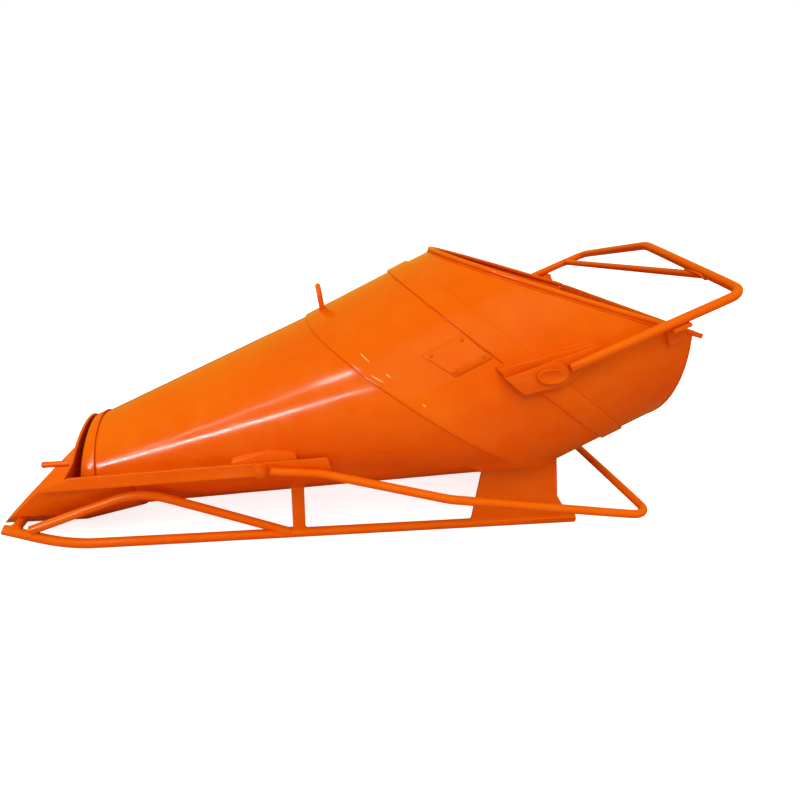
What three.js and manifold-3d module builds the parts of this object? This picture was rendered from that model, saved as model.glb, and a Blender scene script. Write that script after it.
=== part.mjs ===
// Sled bucket: a concrete skip that lies on two runners and hangs from a swinging bail.
// Millimetres, +Z up, +X from the outlet towards the mouth, the runners' soles at z = 0.
import * as THREE from 'three';
import { mergeVertices } from 'three/addons/utils/BufferGeometryUtils.js';
import Module from 'manifold-3d';

const wasm = await Module();
wasm.setup();

// Drum: an oblique cylinder, its straight lines climbing towards the mouth
const drumHalfWidth = 480;
const drumHalfHeight = 420;
const drumClimbDeg = 27.1;
const drumAxisHeight = 508;
const sheet = 6;
const weldGap = 0.3;

// Stations are measured along the drum's axis from the point above x = 0
const seamStation = -106.3;
const seamLeanDeg = -32.4;
const seamLap = 18;
const bandStation = 167.1;
const bandWidth = 73.5;
const bandLeanDeg = -27.9;
const bandThickness = 6;
const mouthStation = 94.8;
const mouthAngleDeg = 41.3;
const endStation = 635.9;
const endLeanDeg = 15.7;
const rimBarDiameter = 17;
const endLipWidth = 38;
const endLipThickness = 14;

// Outlet, a circle that leans back with the cone's end, and its collar
const outletX = -1268;
const outletHeight = 211.5;
const outletRadius = 162.3;
const outletLeanDeg = 9;
const collarLength = 34;
const collarSetback = 3;
const collarThickness = 7;

// Gate: two arms on the cone's sides that carry the closing plate and the lever
const pivotX = -678;
const pivotHeight = 320;
const gateArmConeGap = 26.1;
const gateArmTroughGap = 3;
const gateArmThickness = 8;
const gateArmFrontX = -1366;
const gateArmFrontBottom = 214;
const gateArmFrontTop = 225;
const gateArmShoulderX = -1266;
const gateArmShoulderTop = 268;
const gateArmRearX = -461;
const gateArmRearBottom = 323;
const gateArmRearTopX = -474;
const gateArmRearTop = 366;
const closingTopX = -1252;
const closingTopGap = 4.2;
const closingBottomX = -1330;
const closingBottomHeight = 62;
const closingThickness = 8;
const closingSideLap = 27.7;
const closingSideHeight = 152;
const closingChamferHeight = 113;
const closingChamferHalfWidth = 170;
const closingBottomHalfWidth = 94;
const closingEarHalfWidth = 260;
const closingEarBottom = 230;
const closingEarTop = 284;
const stubDiameter = 22;
const stubRootX = -1293;
const stubRootHeight = 211;
const stubTipX = -1441;
const stubTipHeight = 205;
const gatePinDiameter = 26;
const gatePinHeadDiameter = 34;
const gatePinHeadThickness = 8;
const gatePadFrontX = -768;
const gatePadRearX = -566;
const gatePadBottom = 297;
const gatePadTop = 375;
const gatePadCrownX = -650;
const gatePadCorner = 16;
const gatePadFrontRise = 14;
const gatePadDepth = 80;
const gatePadGap = 3;
const leverHubDiameter = 46;
const leverHubLength = 16;
const runningGap = 0.6;

// Hand lever, one bent bar from side to side
const leverDiameter = 28;
const leverStartX = -642;
const leverStartHeight = 321;
const leverKneeX = -486;
const leverKneeHeight = 318;
const leverSideGap = 30;
const leverFlareX = -116;
const leverFlareHeight = 270;
const leverEndX = 566;
const leverEndHeight = 174;
const leverBend = 80;
const leverKneeBend = 160;

// Trough under the outlet: its section as shares of its half width and depth, then its front's cut
const troughSideGap = 66.7;
const troughDepth = 193;
const troughKeelDrop = 25.2;
const troughSectionShares = [
  [1, 1],
  [0.83, 0.446],
  [0.48, 0.109],
  [0, 0],
];
const troughTipX = -1582;
const troughTipHeight = 17;
const troughTopFrontX = -1369;
const troughBlendX = -1290;
const troughRearX = -1098;

// Sled
const runnerDiameter = 34;
const runnerRearX = 444;
const runnerBendX = -1318;
const runnerTipX = -1500;
const runnerTipHeight = 86;
const runnerBend = 500;
const humpDiameter = 30;
const humpFrontX = -1420;
const humpFrontHeight = 78;
const humpTopX = -1072;
const humpTopHeight = 204;
const humpRearX = -600;
const humpRearHeight = 20;
const humpBend = 250;
const crossbarDiameter = 30;
const frontStayX = -1466;
const frontStayHeight = 84;
const rearCrossbarX = 420;
const postFrontX = -591;
const postRearX = -548;
const postThickness = 14;
const rearPlateThickness = 10;
const rearPlateFrontX = 43;
const rearPlateLength = 354;
const rearPlateHeight = 283;
const rearPlateShares = [
  [0, 0],
  [1, 0],
  [0.975, 0.205],
  [0.9, 0.346],
  [0.816, 1],
  [0.093, 1],
];

// Bail: one bent bar with a raised top and a tie across one corner of it
const bailDiameter = 28;
const bailPivotX = 148;
const bailPivotHeight = 650;
const bailShoulderX = 679;
const bailShoulderHeight = 884;
const bailApexX = 662;
const bailApexHeight = 962;
const bailShoulderBend = 46;
const bailApexBend = 180;
const bailStartReach = 56;
const bailTieDiameter = 22;
const bailTieNearY = -364;
const bailTieFarX = 600;
const bailTieFarHeight = 850;
const bailPinDiameter = 30;
const bailPinHeadLong = 88;
const bailPinHeadShort = 46;
const bailPinHeadThickness = 11;
const bailBaseStandoff = 14.6;
const bailBaseLength = 290;
const bailBaseHeight = 148;
const bailBaseShares = [
  [-0.503, 0.081],
  [-0.269, -0.419],
  [0.166, -0.311],
  [0.497, 0.27],
  [0.448, 0.581],
  [0.007, 0.365],
];
const bailBaseDepth = 70;
const bailEyeThickness = 10;
const bailEyeDiameter = 72;
const bailEyeReach = 160;
const bailEyeTipWidth = 44;
const bailStrapThickness = 8;
const bailStrapLong = 108;
const bailStrapShort = 80;
const bailStrapTopReach = 133;
const bailStrapTopDrop = 7;
const bailStrapBottomReach = 70;
const bailStrapBottomDrop = 56;
const bailStrapFootShare = 0.3;
const bailStopReach = 356;
const bailStopLength = 54;
const bailStopDrop = 58;
const bailStopThickness = 10;
const bailStopWeb = 8;
const bailStopLedge = 2;

// Blank name plate with four rivets, and the tag eye on the crest
const plateBandGap = 6;
const plateLength = 118;
const plateFlare = 14;
const plateTopAngleDeg = 54.5;
const plateBottomAngleDeg = 67.7;
const plateThickness = 4;
const rivetDiameter = 13;
const rivetTopDiameter = 8;
const rivetHeight = 4;
const rivetInset = 14;
const eyeX = -466;
const eyeBarDiameter = 18;
const eyeHeight = 84;
const eyeLeanDeg = 10;
const eyeHalfSpan = 28;
const eyeRoot = 40;

// Facet counts
const shellSides = 48;
const barSides = 12;
const pinSides = 24;
const bendSteps = 5;
const roundSteps = 12;
const troughRings = 3;
const coneSteps = 6;
const overrun = 60;

// Sizes that follow from the cone, the drum and the trough
const troughHalfWidth = outletRadius + troughSideGap;
const troughKeelHeight = outletHeight - outletRadius - troughKeelDrop;
const runnerHalfSpan = troughHalfWidth;
const closingTopHeight = outletHeight + outletRadius + closingTopGap;
const closingHalfWidth = outletRadius + closingSideLap;
const leverSpan = drumHalfWidth + leverSideGap;

const rad = THREE.MathUtils.degToRad;
const vec = (x, y, z) => new THREE.Vector3(x, y, z);
const climb = rad(drumClimbDeg);
const along = vec(Math.cos(climb), 0, Math.sin(climb));
const across = vec(-Math.sin(climb), 0, Math.cos(climb));
const sideways = vec(0, -1, 0);

const orange = { color: 0xf06408, roughness: 0.28, metalness: 0.0 };
const shadedOrange = { color: 0xc84a08, roughness: 0.35, metalness: 0.0 };
const model = new THREE.Group();
model.name = 'sled_bucket';

// Solids

function closedGeometry(positions, triangles) {
  const geometry = new THREE.BufferGeometry();
  geometry.setAttribute('position', new THREE.Float32BufferAttribute(positions, 3));
  geometry.setIndex(triangles);
  return faceOut(geometry);
}

function faceOut(geometry) {
  const place = geometry.getAttribute('position');
  const index = geometry.getIndex().array;
  const [a, b, c] = [vec(0, 0, 0), vec(0, 0, 0), vec(0, 0, 0)];
  let volume = 0;
  for (let i = 0; i < index.length; i += 3) {
    a.fromBufferAttribute(place, index[i]);
    b.fromBufferAttribute(place, index[i + 1]);
    c.fromBufferAttribute(place, index[i + 2]);
    volume += a.dot(b.cross(c));
  }
  if (volume < 0) {
    geometry.setIndex(Array.from(index).reverse());
  }
  return geometry;
}

// Rings of equal count, each joined to the next and the last to the first
function loopBody(rings) {
  const count = rings[0].length;
  const positions = rings.flat().flatMap((point) => point.toArray());
  const triangles = [];
  for (let r = 0; r < rings.length; r += 1) {
    const next = (r + 1) % rings.length;
    for (let k = 0; k < count; k += 1) {
      const turn = (k + 1) % count;
      const corners = [r * count + k, r * count + turn, next * count + turn, next * count + k];
      triangles.push(...quadFaces(positions, corners));
    }
  }
  return closedGeometry(positions, triangles);
}

// Two triangles, split so that the faces at +Y mirror those at -Y
function quadFaces(positions, [p, q, t, s]) {
  const sum = [p, q, t, s].reduce((total, k) => total + positions[3 * k + 1], 0);
  return sum < 0 ? [p, q, t, p, t, s] : [p, q, s, q, t, s];
}

// Rings of equal count in a row, closed by a fan of triangles at each end
function rowBody(rings) {
  const count = rings[0].length;
  const positions = rings.flat().flatMap((point) => point.toArray());
  const triangles = [];
  for (let r = 0; r < rings.length - 1; r += 1) {
    for (let k = 0; k < count; k += 1) {
      const turn = (k + 1) % count;
      const [p, q] = [r * count + k, r * count + turn];
      triangles.push(...quadFaces(positions, [p, q, q + count, p + count]));
    }
  }
  const last = (rings.length - 1) * count;
  for (let k = 1; k < count - 1; k += 1) {
    triangles.push(0, k + 1, k, last, last + k, last + k + 1);
  }
  return closedGeometry(positions, triangles);
}

function toSolid(geometry) {
  const bare = geometry.clone();
  bare.deleteAttribute('normal');
  bare.deleteAttribute('uv');
  const merged = mergeVertices(bare);
  const mesh = new wasm.Mesh({
    numProp: 3,
    vertProperties: new Float32Array(merged.getAttribute('position').array),
    triVerts: new Uint32Array(merged.getIndex().array),
  });
  return new wasm.Manifold(mesh);
}

function fromSolid(solid) {
  const mesh = solid.getMesh();
  const geometry = new THREE.BufferGeometry();
  geometry.setAttribute('position', new THREE.Float32BufferAttribute(mesh.vertProperties, 3));
  geometry.setIndex(Array.from(mesh.triVerts));
  return geometry;
}

function cut(geometry, ...tools) {
  return fromSolid(tools.reduce((solid, tool) => solid.subtract(toSolid(tool)), toSolid(geometry)));
}

function common(geometry, other) {
  return fromSolid(toSolid(geometry).intersect(toSolid(other)));
}

function join(...geometries) {
  return fromSolid(geometries.map(toSolid).reduce((solid, other) => solid.add(other)));
}

function add(name, geometry, finish = orange) {
  const flat = geometry.index ? geometry.toNonIndexed() : geometry;
  flat.computeVertexNormals();
  const mesh = new THREE.Mesh(flat, new THREE.MeshStandardMaterial(finish));
  mesh.name = name;
  model.add(mesh);
  return mesh;
}

function mirrorOf(geometry) {
  const mirrored = mergeVertices(barePositions(geometry));
  mirrored.scale(1, -1, 1);
  return faceOut(mirrored);
}

// The same piece on both sides: as built on the -Y side, and mirrored
function addPair(name, geometry, finish = orange) {
  add(`${name}_l`, geometry, finish);
  add(`${name}_r`, mirrorOf(geometry), finish);
}

function barePositions(geometry) {
  const bare = geometry.clone();
  bare.deleteAttribute('normal');
  bare.deleteAttribute('uv');
  return bare;
}

// A path of straight runs and round bends; its stops are where a bar needs a ring
class BentPath extends THREE.Curve {
  constructor(corners, bend) {
    super();
    this.stops = [corners[0]];
    for (let i = 1; i < corners.length - 1; i += 1) {
      this.stops.push(...roundedCorner(corners[i - 1], corners[i], corners[i + 1], bend[i - 1]));
    }
    this.stops.push(corners[corners.length - 1]);
  }

  getPoint(t) {
    const place = t * (this.stops.length - 1);
    const k = Math.min(Math.floor(place), this.stops.length - 2);
    return this.stops[k].clone().lerp(this.stops[k + 1], place - k);
  }

  getTangent(t) {
    const k = Math.round(t * (this.stops.length - 1));
    const here = this.stops[k];
    const sum = vec(0, 0, 0);
    if (k > 0) sum.add(here.clone().sub(this.stops[k - 1]).normalize());
    if (k < this.stops.length - 1) sum.add(this.stops[k + 1].clone().sub(here).normalize());
    return sum.normalize();
  }

  getUtoTmapping(u) {
    return u;
  }
}

function roundedCorner(before, corner, after, radius) {
  const into = corner.clone().sub(before).normalize();
  const out = after.clone().sub(corner).normalize();
  const turn = into.angleTo(out);
  const setback = radius * Math.tan(turn / 2);
  const start = corner.clone().addScaledVector(into, -setback);
  const inward = out.clone().addScaledVector(into, -out.dot(into)).normalize();
  const stops = [];
  for (let i = 0; i <= bendSteps; i += 1) {
    const angle = turn * i / bendSteps;
    const point = start.clone().addScaledVector(into, radius * Math.sin(angle));
    stops.push(point.addScaledVector(inward, radius * (1 - Math.cos(angle))));
  }
  return stops;
}

// A regular polygon round the true circle, with flat sides up, down and to the sides
function roundSection(diameter, sides = barSides) {
  const reach = diameter / 2 / Math.cos(Math.PI / sides);
  const points = [];
  for (let k = 0; k < sides; k += 1) {
    const angle = (k + 1 / 2) * 2 * Math.PI / sides;
    points.push(new THREE.Vector2(reach * Math.cos(angle), reach * Math.sin(angle)));
  }
  return new THREE.Shape(points);
}

function bentBar(corners, bend, diameter, sides = barSides) {
  const path = new BentPath(corners, bend);
  const steps = path.stops.length - 1;
  return new THREE.ExtrudeGeometry(roundSection(diameter, sides), { steps, extrudePath: path });
}

function straightBar(from, to, diameter, sides = barSides) {
  return bentBar([from, to], [], diameter, sides);
}

// A flat plate in the XZ plane, from the given side face towards the middle of the bucket
function uprightPlate(points, outerFace, thickness) {
  const shape = new THREE.Shape(points.map(([x, z]) => new THREE.Vector2(x, z)));
  const geometry = new THREE.ExtrudeGeometry(shape, { depth: thickness, bevelEnabled: false });
  geometry.rotateX(Math.PI / 2);
  geometry.translate(0, -outerFace + thickness, 0);
  return geometry;
}

// Drum and cone

function drumPoint(station, angle, growth = 0) {
  return vec(0, 0, drumAxisHeight)
    .addScaledVector(along, station)
    .addScaledVector(across, (drumHalfHeight + growth) * Math.cos(angle))
    .addScaledVector(sideways, (drumHalfWidth + growth) * Math.sin(angle));
}

// The station of a ring that leans against the square section
function leaningStation(station, leanDeg, angle, growth = 0) {
  return station + Math.tan(rad(leanDeg)) * (drumHalfHeight + growth) * Math.cos(angle);
}

const mouthSlope = 1 / Math.tan(rad(mouthAngleDeg));
const endSlope = Math.tan(rad(endLeanDeg));

function mouthStationAt(angle, growth = 0) {
  const drop = drumHalfHeight - (drumHalfHeight + growth) * Math.cos(angle);
  return mouthStation + drop * mouthSlope;
}

// The angle from the crest at which the mouth plane meets the end plate
const cornerRise = (mouthStation + drumHalfHeight * mouthSlope - endStation) / (endSlope + mouthSlope);
const cornerAngle = Math.acos(cornerRise / drumHalfHeight);

// Angles round the drum, with a point exactly at each corner of the mouth
function shellAngles() {
  const upper = Math.round(shellSides * cornerAngle / (2 * Math.PI)) * 2;
  const lower = shellSides - upper;
  const found = [];
  for (let k = 0; k < upper; k += 1) {
    found.push(-cornerAngle + 2 * cornerAngle * k / upper);
  }
  for (let k = 0; k < lower; k += 1) {
    found.push(cornerAngle + 2 * (Math.PI - cornerAngle) * k / lower);
  }
  return found;
}

const angles = shellAngles();
const seamAt = (angle, growth) => leaningStation(seamStation, seamLeanDeg, angle, growth);
const endAt = (angle, growth) => leaningStation(endStation, endLeanDeg, angle, growth);
const openEndAt = (angle, growth) => Math.min(mouthStationAt(angle, growth), endAt(angle, growth));

function ringAt(stationOf, growth = 0) {
  return angles.map((angle) => drumPoint(stationOf(angle, growth), angle, growth));
}

function drumShell() {
  return loopBody([
    ringAt(seamAt),
    ringAt(openEndAt),
    ringAt(openEndAt, -sheet),
    ringAt(seamAt, -sheet),
  ]);
}

const outletLean = rad(outletLeanDeg);
const outletUp = vec(Math.sin(outletLean), 0, Math.cos(outletLean));

function outletPoint(angle, growth = 0) {
  return vec(outletX, 0, outletHeight)
    .addScaledVector(outletUp, (outletRadius + growth) * Math.cos(angle))
    .addScaledVector(sideways, (outletRadius + growth) * Math.sin(angle));
}

// The cone's large end slips into the drum by the lap
const coneSeamGrowth = -sheet - weldGap;
const coneLapAt = (angle, growth) => seamAt(angle, growth) + seamLap;

// A point on one of the cone's straight lines, a share of the way from outlet to seam
function conePoint(share, angle, growth = 0) {
  const seamGrowth = coneSeamGrowth + growth;
  const seam = drumPoint(seamAt(angle, seamGrowth), angle, seamGrowth);
  return outletPoint(angle, growth).lerp(seam, share);
}

function coneRing(share, growth = 0) {
  return angles.map((angle) => conePoint(share, angle, growth));
}

// Rings at equal spacing from outlet to seam
function coneRings(growth) {
  const found = [];
  for (let k = 0; k <= coneSteps; k += 1) {
    found.push(coneRing(k / coneSteps, growth));
  }
  return found;
}

function coneShell() {
  return loopBody([
    ...coneRings(0),
    ringAt(coneLapAt, coneSeamGrowth),
    ringAt(coneLapAt, coneSeamGrowth - sheet),
    ...coneRings(-sheet).reverse(),
  ]);
}

// Fillings of the cone and of the drum, a weld gap larger, that trim what is welded to them
const tools = [
  rowBody([...coneRings(weldGap), ringAt(coneLapAt, coneSeamGrowth + weldGap)]),
  rowBody([ringAt(seamAt, weldGap), ringAt(openEndAt, weldGap)]),
];

function outletCollar() {
  const crest = outletPoint(0).distanceTo(conePoint(1, 0));
  const [front, back] = [collarSetback / crest, (collarSetback + collarLength) / crest];
  const collar = loopBody([
    coneRing(front),
    coneRing(front, weldGap + collarThickness),
    coneRing(back, weldGap + collarThickness),
    coneRing(back),
  ]);
  return cut(collar, tools[0]);
}

// The end plate closes the drum below the mouth
function endPlate() {
  const steps = shellSides / 2;
  const outline = [];
  for (let k = 0; k <= steps; k += 1) {
    const angle = cornerAngle + 2 * (Math.PI - cornerAngle) * k / steps;
    outline.push(drumPoint(endAt(angle), angle));
  }
  const face = (distance) => outline.map((point) => point.clone().addScaledVector(along, distance));
  return cut(rowBody([face(weldGap), face(weldGap + sheet)]), endLip(weldGap));
}

const mouthTurn = climb - rad(mouthAngleDeg);
const mouthDown = vec(Math.cos(mouthTurn), 0, Math.sin(mouthTurn));
const mouthNormal = vec(-Math.sin(mouthTurn), 0, Math.cos(mouthTurn));

// A round bar welded along the whole edge of the mouth
function rimBar(growth = 0) {
  const lift = rimBarDiameter / 2 + weldGap;
  const path = [];
  for (let k = 0; k <= shellSides; k += 1) {
    const angle = -cornerAngle + 2 * cornerAngle * k / shellSides;
    const edge = drumPoint(mouthStationAt(angle, -sheet / 2), angle, -sheet / 2);
    path.push(edge.addScaledVector(mouthNormal, lift));
  }
  return rowBody(path.map((centre, k) => rimRing(path, centre, k, rimBarDiameter / 2 + growth)));
}

function rimRing(path, centre, k, radius) {
  const before = path[Math.max(k - 1, 0)];
  const after = path[Math.min(k + 1, path.length - 1)];
  const outward = after.clone().sub(before).normalize().cross(mouthNormal).normalize();
  const ring = [];
  for (let i = 0; i < barSides; i += 1) {
    const angle = (i + 1 / 2) * 2 * Math.PI / barSides;
    ring.push(centre.clone()
      .addScaledVector(outward, radius * Math.cos(angle))
      .addScaledVector(mouthNormal, radius * Math.sin(angle)));
  }
  return ring;
}

// A flat bar across the top of the end plate, standing out as a lip
function endLip(growth = 0) {
  const corner = drumPoint(endAt(cornerAngle), cornerAngle);
  const halfWidth = Math.abs(corner.y) + growth;
  const back = corner.clone().setY(0);
  const place = (reach, height) => {
    return back.clone().addScaledVector(mouthDown, reach).addScaledVector(mouthNormal, height);
  };
  const outline = [
    place(-growth, weldGap - growth),
    place(endLipWidth + growth, weldGap - growth),
    place(endLipWidth + growth, weldGap + endLipThickness + growth),
    place(-growth, weldGap + endLipThickness + growth),
  ];
  return rowBody([-halfWidth, halfWidth].map((y) => outline.map((point) => point.clone().setY(y))));
}

function drumBand(growth = 0) {
  const lower = (angle, offset) => leaningStation(bandStation, bandLeanDeg, angle, offset) - growth;
  const upper = (angle, offset) => lower(angle, offset) + bandWidth + 2 * growth;
  return loopBody([
    ringAt(lower, weldGap - growth),
    ringAt(lower, weldGap + bandThickness + growth),
    ringAt(upper, weldGap + bandThickness + growth),
    ringAt(upper, weldGap - growth),
  ]);
}

// Blank plate on the side of the drum, beside the band
function platePoint(share, angle, growth) {
  const topAngle = rad(plateTopAngleDeg);
  const bottomAngle = rad(plateBottomAngleDeg);
  const length = plateLength + plateFlare * (bottomAngle - angle) / (bottomAngle - topAngle);
  const right = leaningStation(bandStation, bandLeanDeg, angle) - plateBandGap;
  return drumPoint(right - (1 - share) * length, angle, growth);
}

function namePlate() {
  const low = 2 * weldGap;
  const high = low + plateThickness;
  const steps = bendSteps;
  const sections = [];
  for (let k = 0; k <= steps; k += 1) {
    const angle = rad(plateTopAngleDeg + (plateBottomAngleDeg - plateTopAngleDeg) * k / steps);
    sections.push([
      platePoint(0, angle, low),
      platePoint(1, angle, low),
      platePoint(1, angle, high),
      platePoint(0, angle, high),
    ]);
  }
  return cut(rowBody(sections), tools[1]);
}

function surfaceNormal(angle) {
  return across.clone().multiplyScalar(Math.cos(angle) / drumHalfHeight)
    .addScaledVector(sideways, Math.sin(angle) / drumHalfWidth)
    .normalize();
}

function addNameRivets() {
  const insetShare = rivetInset / plateLength;
  const insetAngle = rivetInset / drumHalfHeight;
  const seatGrowth = plateThickness + 3 * weldGap;
  let number = 1;
  for (const share of [insetShare, 1 - insetShare]) {
    for (const angle of [rad(plateTopAngleDeg) + insetAngle, rad(plateBottomAngleDeg) - insetAngle]) {
      const outward = surfaceNormal(angle);
      const seat = platePoint(share, angle, seatGrowth).addScaledVector(outward, rivetHeight / 2);
      const [top, foot] = [rivetTopDiameter / 2, rivetDiameter / 2];
      const rivet = new THREE.CylinderGeometry(top, foot, rivetHeight, barSides);
      rivet.applyQuaternion(new THREE.Quaternion().setFromUnitVectors(vec(0, 1, 0), outward));
      rivet.translate(seat.x, seat.y, seat.z);
      add(`name_rivet_${number}`, rivet);
      number += 1;
    }
  }
}

// An upright loop of round bar on the crest
function tagEye() {
  const rise = (eyeX - drumPoint(0, 0).x) / along.x;
  const foot = drumPoint(rise, 0);
  const up = vec(-Math.sin(rad(eyeLeanDeg)), 0, Math.cos(rad(eyeLeanDeg)));
  const root = foot.clone().addScaledVector(up, -eyeRoot);
  const top = foot.clone().addScaledVector(up, eyeHeight - eyeBarDiameter / 2);
  const corners = [
    root.clone().addScaledVector(sideways, eyeHalfSpan),
    top.clone().addScaledVector(sideways, eyeHalfSpan),
    top.clone().addScaledVector(sideways, -eyeHalfSpan),
    root.clone().addScaledVector(sideways, -eyeHalfSpan),
  ];
  const bend = eyeHalfSpan - weldGap;
  return cut(bentBar(corners, [bend, bend], eyeBarDiameter), ...tools);
}

function addBody() {
  add('cone_shell', coneShell());
  add('drum_shell', drumShell());
  add('end_plate', endPlate());
  add('end_lip', cut(endLip(), rimBar(weldGap)));
  add('rim_bar', rimBar());
  add('drum_band', drumBand());
  add('outlet_collar', outletCollar());
  add('name_plate', namePlate());
  addNameRivets();
  add('tag_eye', tagEye());
}

// Sled and trough

const runnerRadius = runnerDiameter / 2;

function runner(growth = 0) {
  return bentBar([
    vec(runnerRearX + growth, -runnerHalfSpan, runnerRadius),
    vec(runnerBendX, -runnerHalfSpan, runnerRadius),
    vec(runnerTipX - growth, -runnerHalfSpan, runnerTipHeight),
  ], [runnerBend], runnerDiameter + 2 * growth);
}

function humpBar() {
  return bentBar([
    vec(humpFrontX, -runnerHalfSpan, humpFrontHeight),
    vec(humpTopX, -runnerHalfSpan, humpTopHeight),
    vec(humpRearX, -runnerHalfSpan, humpRearHeight),
  ], [humpBend], humpDiameter);
}

function postBlank() {
  const outline = [
    [postFrontX, runnerRadius],
    [postRearX, runnerRadius],
    [postRearX, pivotHeight],
    [postFrontX, pivotHeight],
  ];
  return uprightPlate(outline, runnerHalfSpan + postThickness / 2, postThickness);
}

function rearPlateBlank() {
  const outline = rearPlateShares.map(([x, z]) => {
    return [rearPlateFrontX + x * rearPlateLength, runnerRadius + z * rearPlateHeight];
  });
  return uprightPlate(outline, runnerHalfSpan + rearPlateThickness / 2, rearPlateThickness);
}

function crossbar(x, height, fromY, toY) {
  return straightBar(vec(x, fromY, height), vec(x, toY, height), crossbarDiameter);
}

// The trough's outer section, or the inner one, from one top edge to the other
function troughOutline(inset) {
  const half = troughSectionShares.map(([y, z]) => [y * troughHalfWidth, troughKeelHeight + z * troughDepth]);
  const whole = [...half, ...half.slice(0, -1).reverse().map(([y, z]) => [-y, z])];
  const points = whole.map(([y, z]) => new THREE.Vector2(y, z));
  return points.map((point, k) => offsetCorner(points, k, inset));
}

function offsetCorner(points, k, inset) {
  const normals = [];
  if (k > 0) normals.push(sideNormal(points[k - 1], points[k]));
  if (k < points.length - 1) normals.push(sideNormal(points[k], points[k + 1]));
  const mean = normals.reduce((sum, normal) => sum.add(normal), new THREE.Vector2()).normalize();
  const spread = mean.dot(sideNormal(...(k > 0 ? [points[k - 1], points[k]] : [points[k], points[k + 1]])));
  return points[k].clone().addScaledVector(mean, inset / spread);
}

// Up and inward from a side of the trough that runs from +Y to -Y
function sideNormal(from, to) {
  const run = to.clone().sub(from).normalize();
  return new THREE.Vector2(run.y, -run.x);
}

// Points of equal spacing between the corners, so that every section has the same count
function refined(points) {
  const found = [];
  for (let k = 0; k < points.length - 1; k += 1) {
    for (let i = 0; i < troughRings; i += 1) {
      found.push(points[k].clone().lerp(points[k + 1], i / troughRings));
    }
  }
  found.push(points[points.length - 1]);
  return found;
}

// The lower half of the cone's own section at the trough's rear end
function coneSection(count, growth) {
  const found = [];
  for (let k = 0; k < count; k += 1) {
    const angle = -Math.PI / 2 - Math.PI * k / (count - 1);
    const [small, large] = [conePoint(0, angle, growth), conePoint(1, angle, growth)];
    const point = small.clone().lerp(large, (troughRearX - small.x) / (large.x - small.x));
    found.push(new THREE.Vector2(point.y, point.z));
  }
  return found;
}

const troughTop = troughKeelHeight + troughDepth;
const troughRun = (troughTopFrontX - troughTipX) / (troughTop - troughTipHeight);

function troughFrontTool() {
  const top = troughTop + overrun;
  const bottom = troughTipHeight - overrun;
  const frontAt = (height) => troughTipX + troughRun * (height - troughTipHeight);
  const outline = [
    [troughTipX - 2 * overrun, bottom],
    [frontAt(bottom), bottom],
    [frontAt(top), top],
    [troughTipX - 2 * overrun, top],
  ];
  const half = troughHalfWidth + overrun;
  return uprightPlate(outline, half, 2 * half);
}

function troughBlank() {
  const outer = refined(troughOutline(0));
  const inner = refined(troughOutline(sheet));
  const rearOuter = coneSection(outer.length, 2 * weldGap + sheet);
  const rearInner = coneSection(outer.length, 2 * weldGap);
  const ring = (x, outside, inside) => {
    return [...outside, ...inside.slice().reverse()].map((point) => vec(x, point.x, point.y));
  };
  return rowBody([
    ring(troughTipX - overrun, outer, inner),
    ring(troughBlendX, outer, inner),
    ring(troughRearX, rearOuter, rearInner),
  ]);
}

function trough() {
  return cut(troughBlank(), troughFrontTool(), tools[0]);
}

// The trough with its inside filled, for trimming the front stays
function troughFilling() {
  const outline = troughOutline(-weldGap).map((point) => [point.x, point.y]);
  return rowBodyOf(outline, troughTipX - overrun, troughBlendX);
}

function rowBodyOf(outline, fromX, toX) {
  const faces = [fromX, toX].map((x) => outline.map(([y, z]) => vec(x, y, z)));
  return rowBody(faces);
}

function addSled() {
  const runnerTool = runner(weldGap);
  addPair('runner', runner());
  addPair('hump_bar', cut(humpBar(), runnerTool));
  addPair('post', cut(postBlank(), runnerTool, ...tools));
  addPair('rear_plate', cut(rearPlateBlank(), runnerTool, ...tools));
  const stay = crossbar(frontStayX, frontStayHeight, -runnerHalfSpan, 0);
  addPair('front_stay', cut(stay, runnerTool, troughFilling()));
  const bar = crossbar(rearCrossbarX, runnerRadius, -runnerHalfSpan, runnerHalfSpan);
  add('rear_crossbar', cut(bar, runnerTool, mirrorOf(runnerTool)));
  add('trough', trough());
}

// Gate

const pivotShare = (pivotX - outletX) / (drumPoint(seamStation, Math.PI / 2).x - outletX);
const coneHalfWidthAtPivot = outletRadius + (drumHalfWidth - sheet - outletRadius) * pivotShare;
const gateArmSpanAtPivot = coneHalfWidthAtPivot + gateArmConeGap;
const gateArmSpanAtFront = troughHalfWidth + gateArmTroughGap;
const armFlare = (gateArmSpanAtPivot - gateArmSpanAtFront) / (pivotX - gateArmFrontX);

// The arm's inner face, as a distance from the middle of the bucket
function armSpanAt(x) {
  return gateArmSpanAtPivot + (x - pivotX) * armFlare;
}

function gateArmBlank() {
  const outline = [
    [gateArmFrontX, gateArmFrontBottom],
    [gateArmRearX, gateArmRearBottom],
    [gateArmRearTopX, gateArmRearTop],
    [gateArmShoulderX, gateArmShoulderTop],
    [gateArmFrontX, gateArmFrontTop],
  ];
  const face = (offset) => outline.map(([x, z]) => vec(x, -armSpanAt(x) - offset, z));
  return rowBody([face(0), face(gateArmThickness)]);
}

// All that lies between a middle plane and a plane beside the arm's inner face
function armSideTool(offset, towardsY) {
  const [front, rear] = [gateArmFrontX - overrun, gateArmRearX + overrun];
  const outline = [
    [front, towardsY],
    [rear, towardsY],
    [rear, -armSpanAt(rear) - offset],
    [front, -armSpanAt(front) - offset],
  ];
  const levels = [0, gateArmRearTop + 2 * overrun];
  return rowBody(levels.map((z) => outline.map(([x, y]) => vec(x, y, z))));
}

const closingUp = vec(closingTopX - closingBottomX, 0, closingTopHeight - closingBottomHeight).normalize();
const closingOut = vec(-closingUp.z, 0, closingUp.x);

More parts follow.
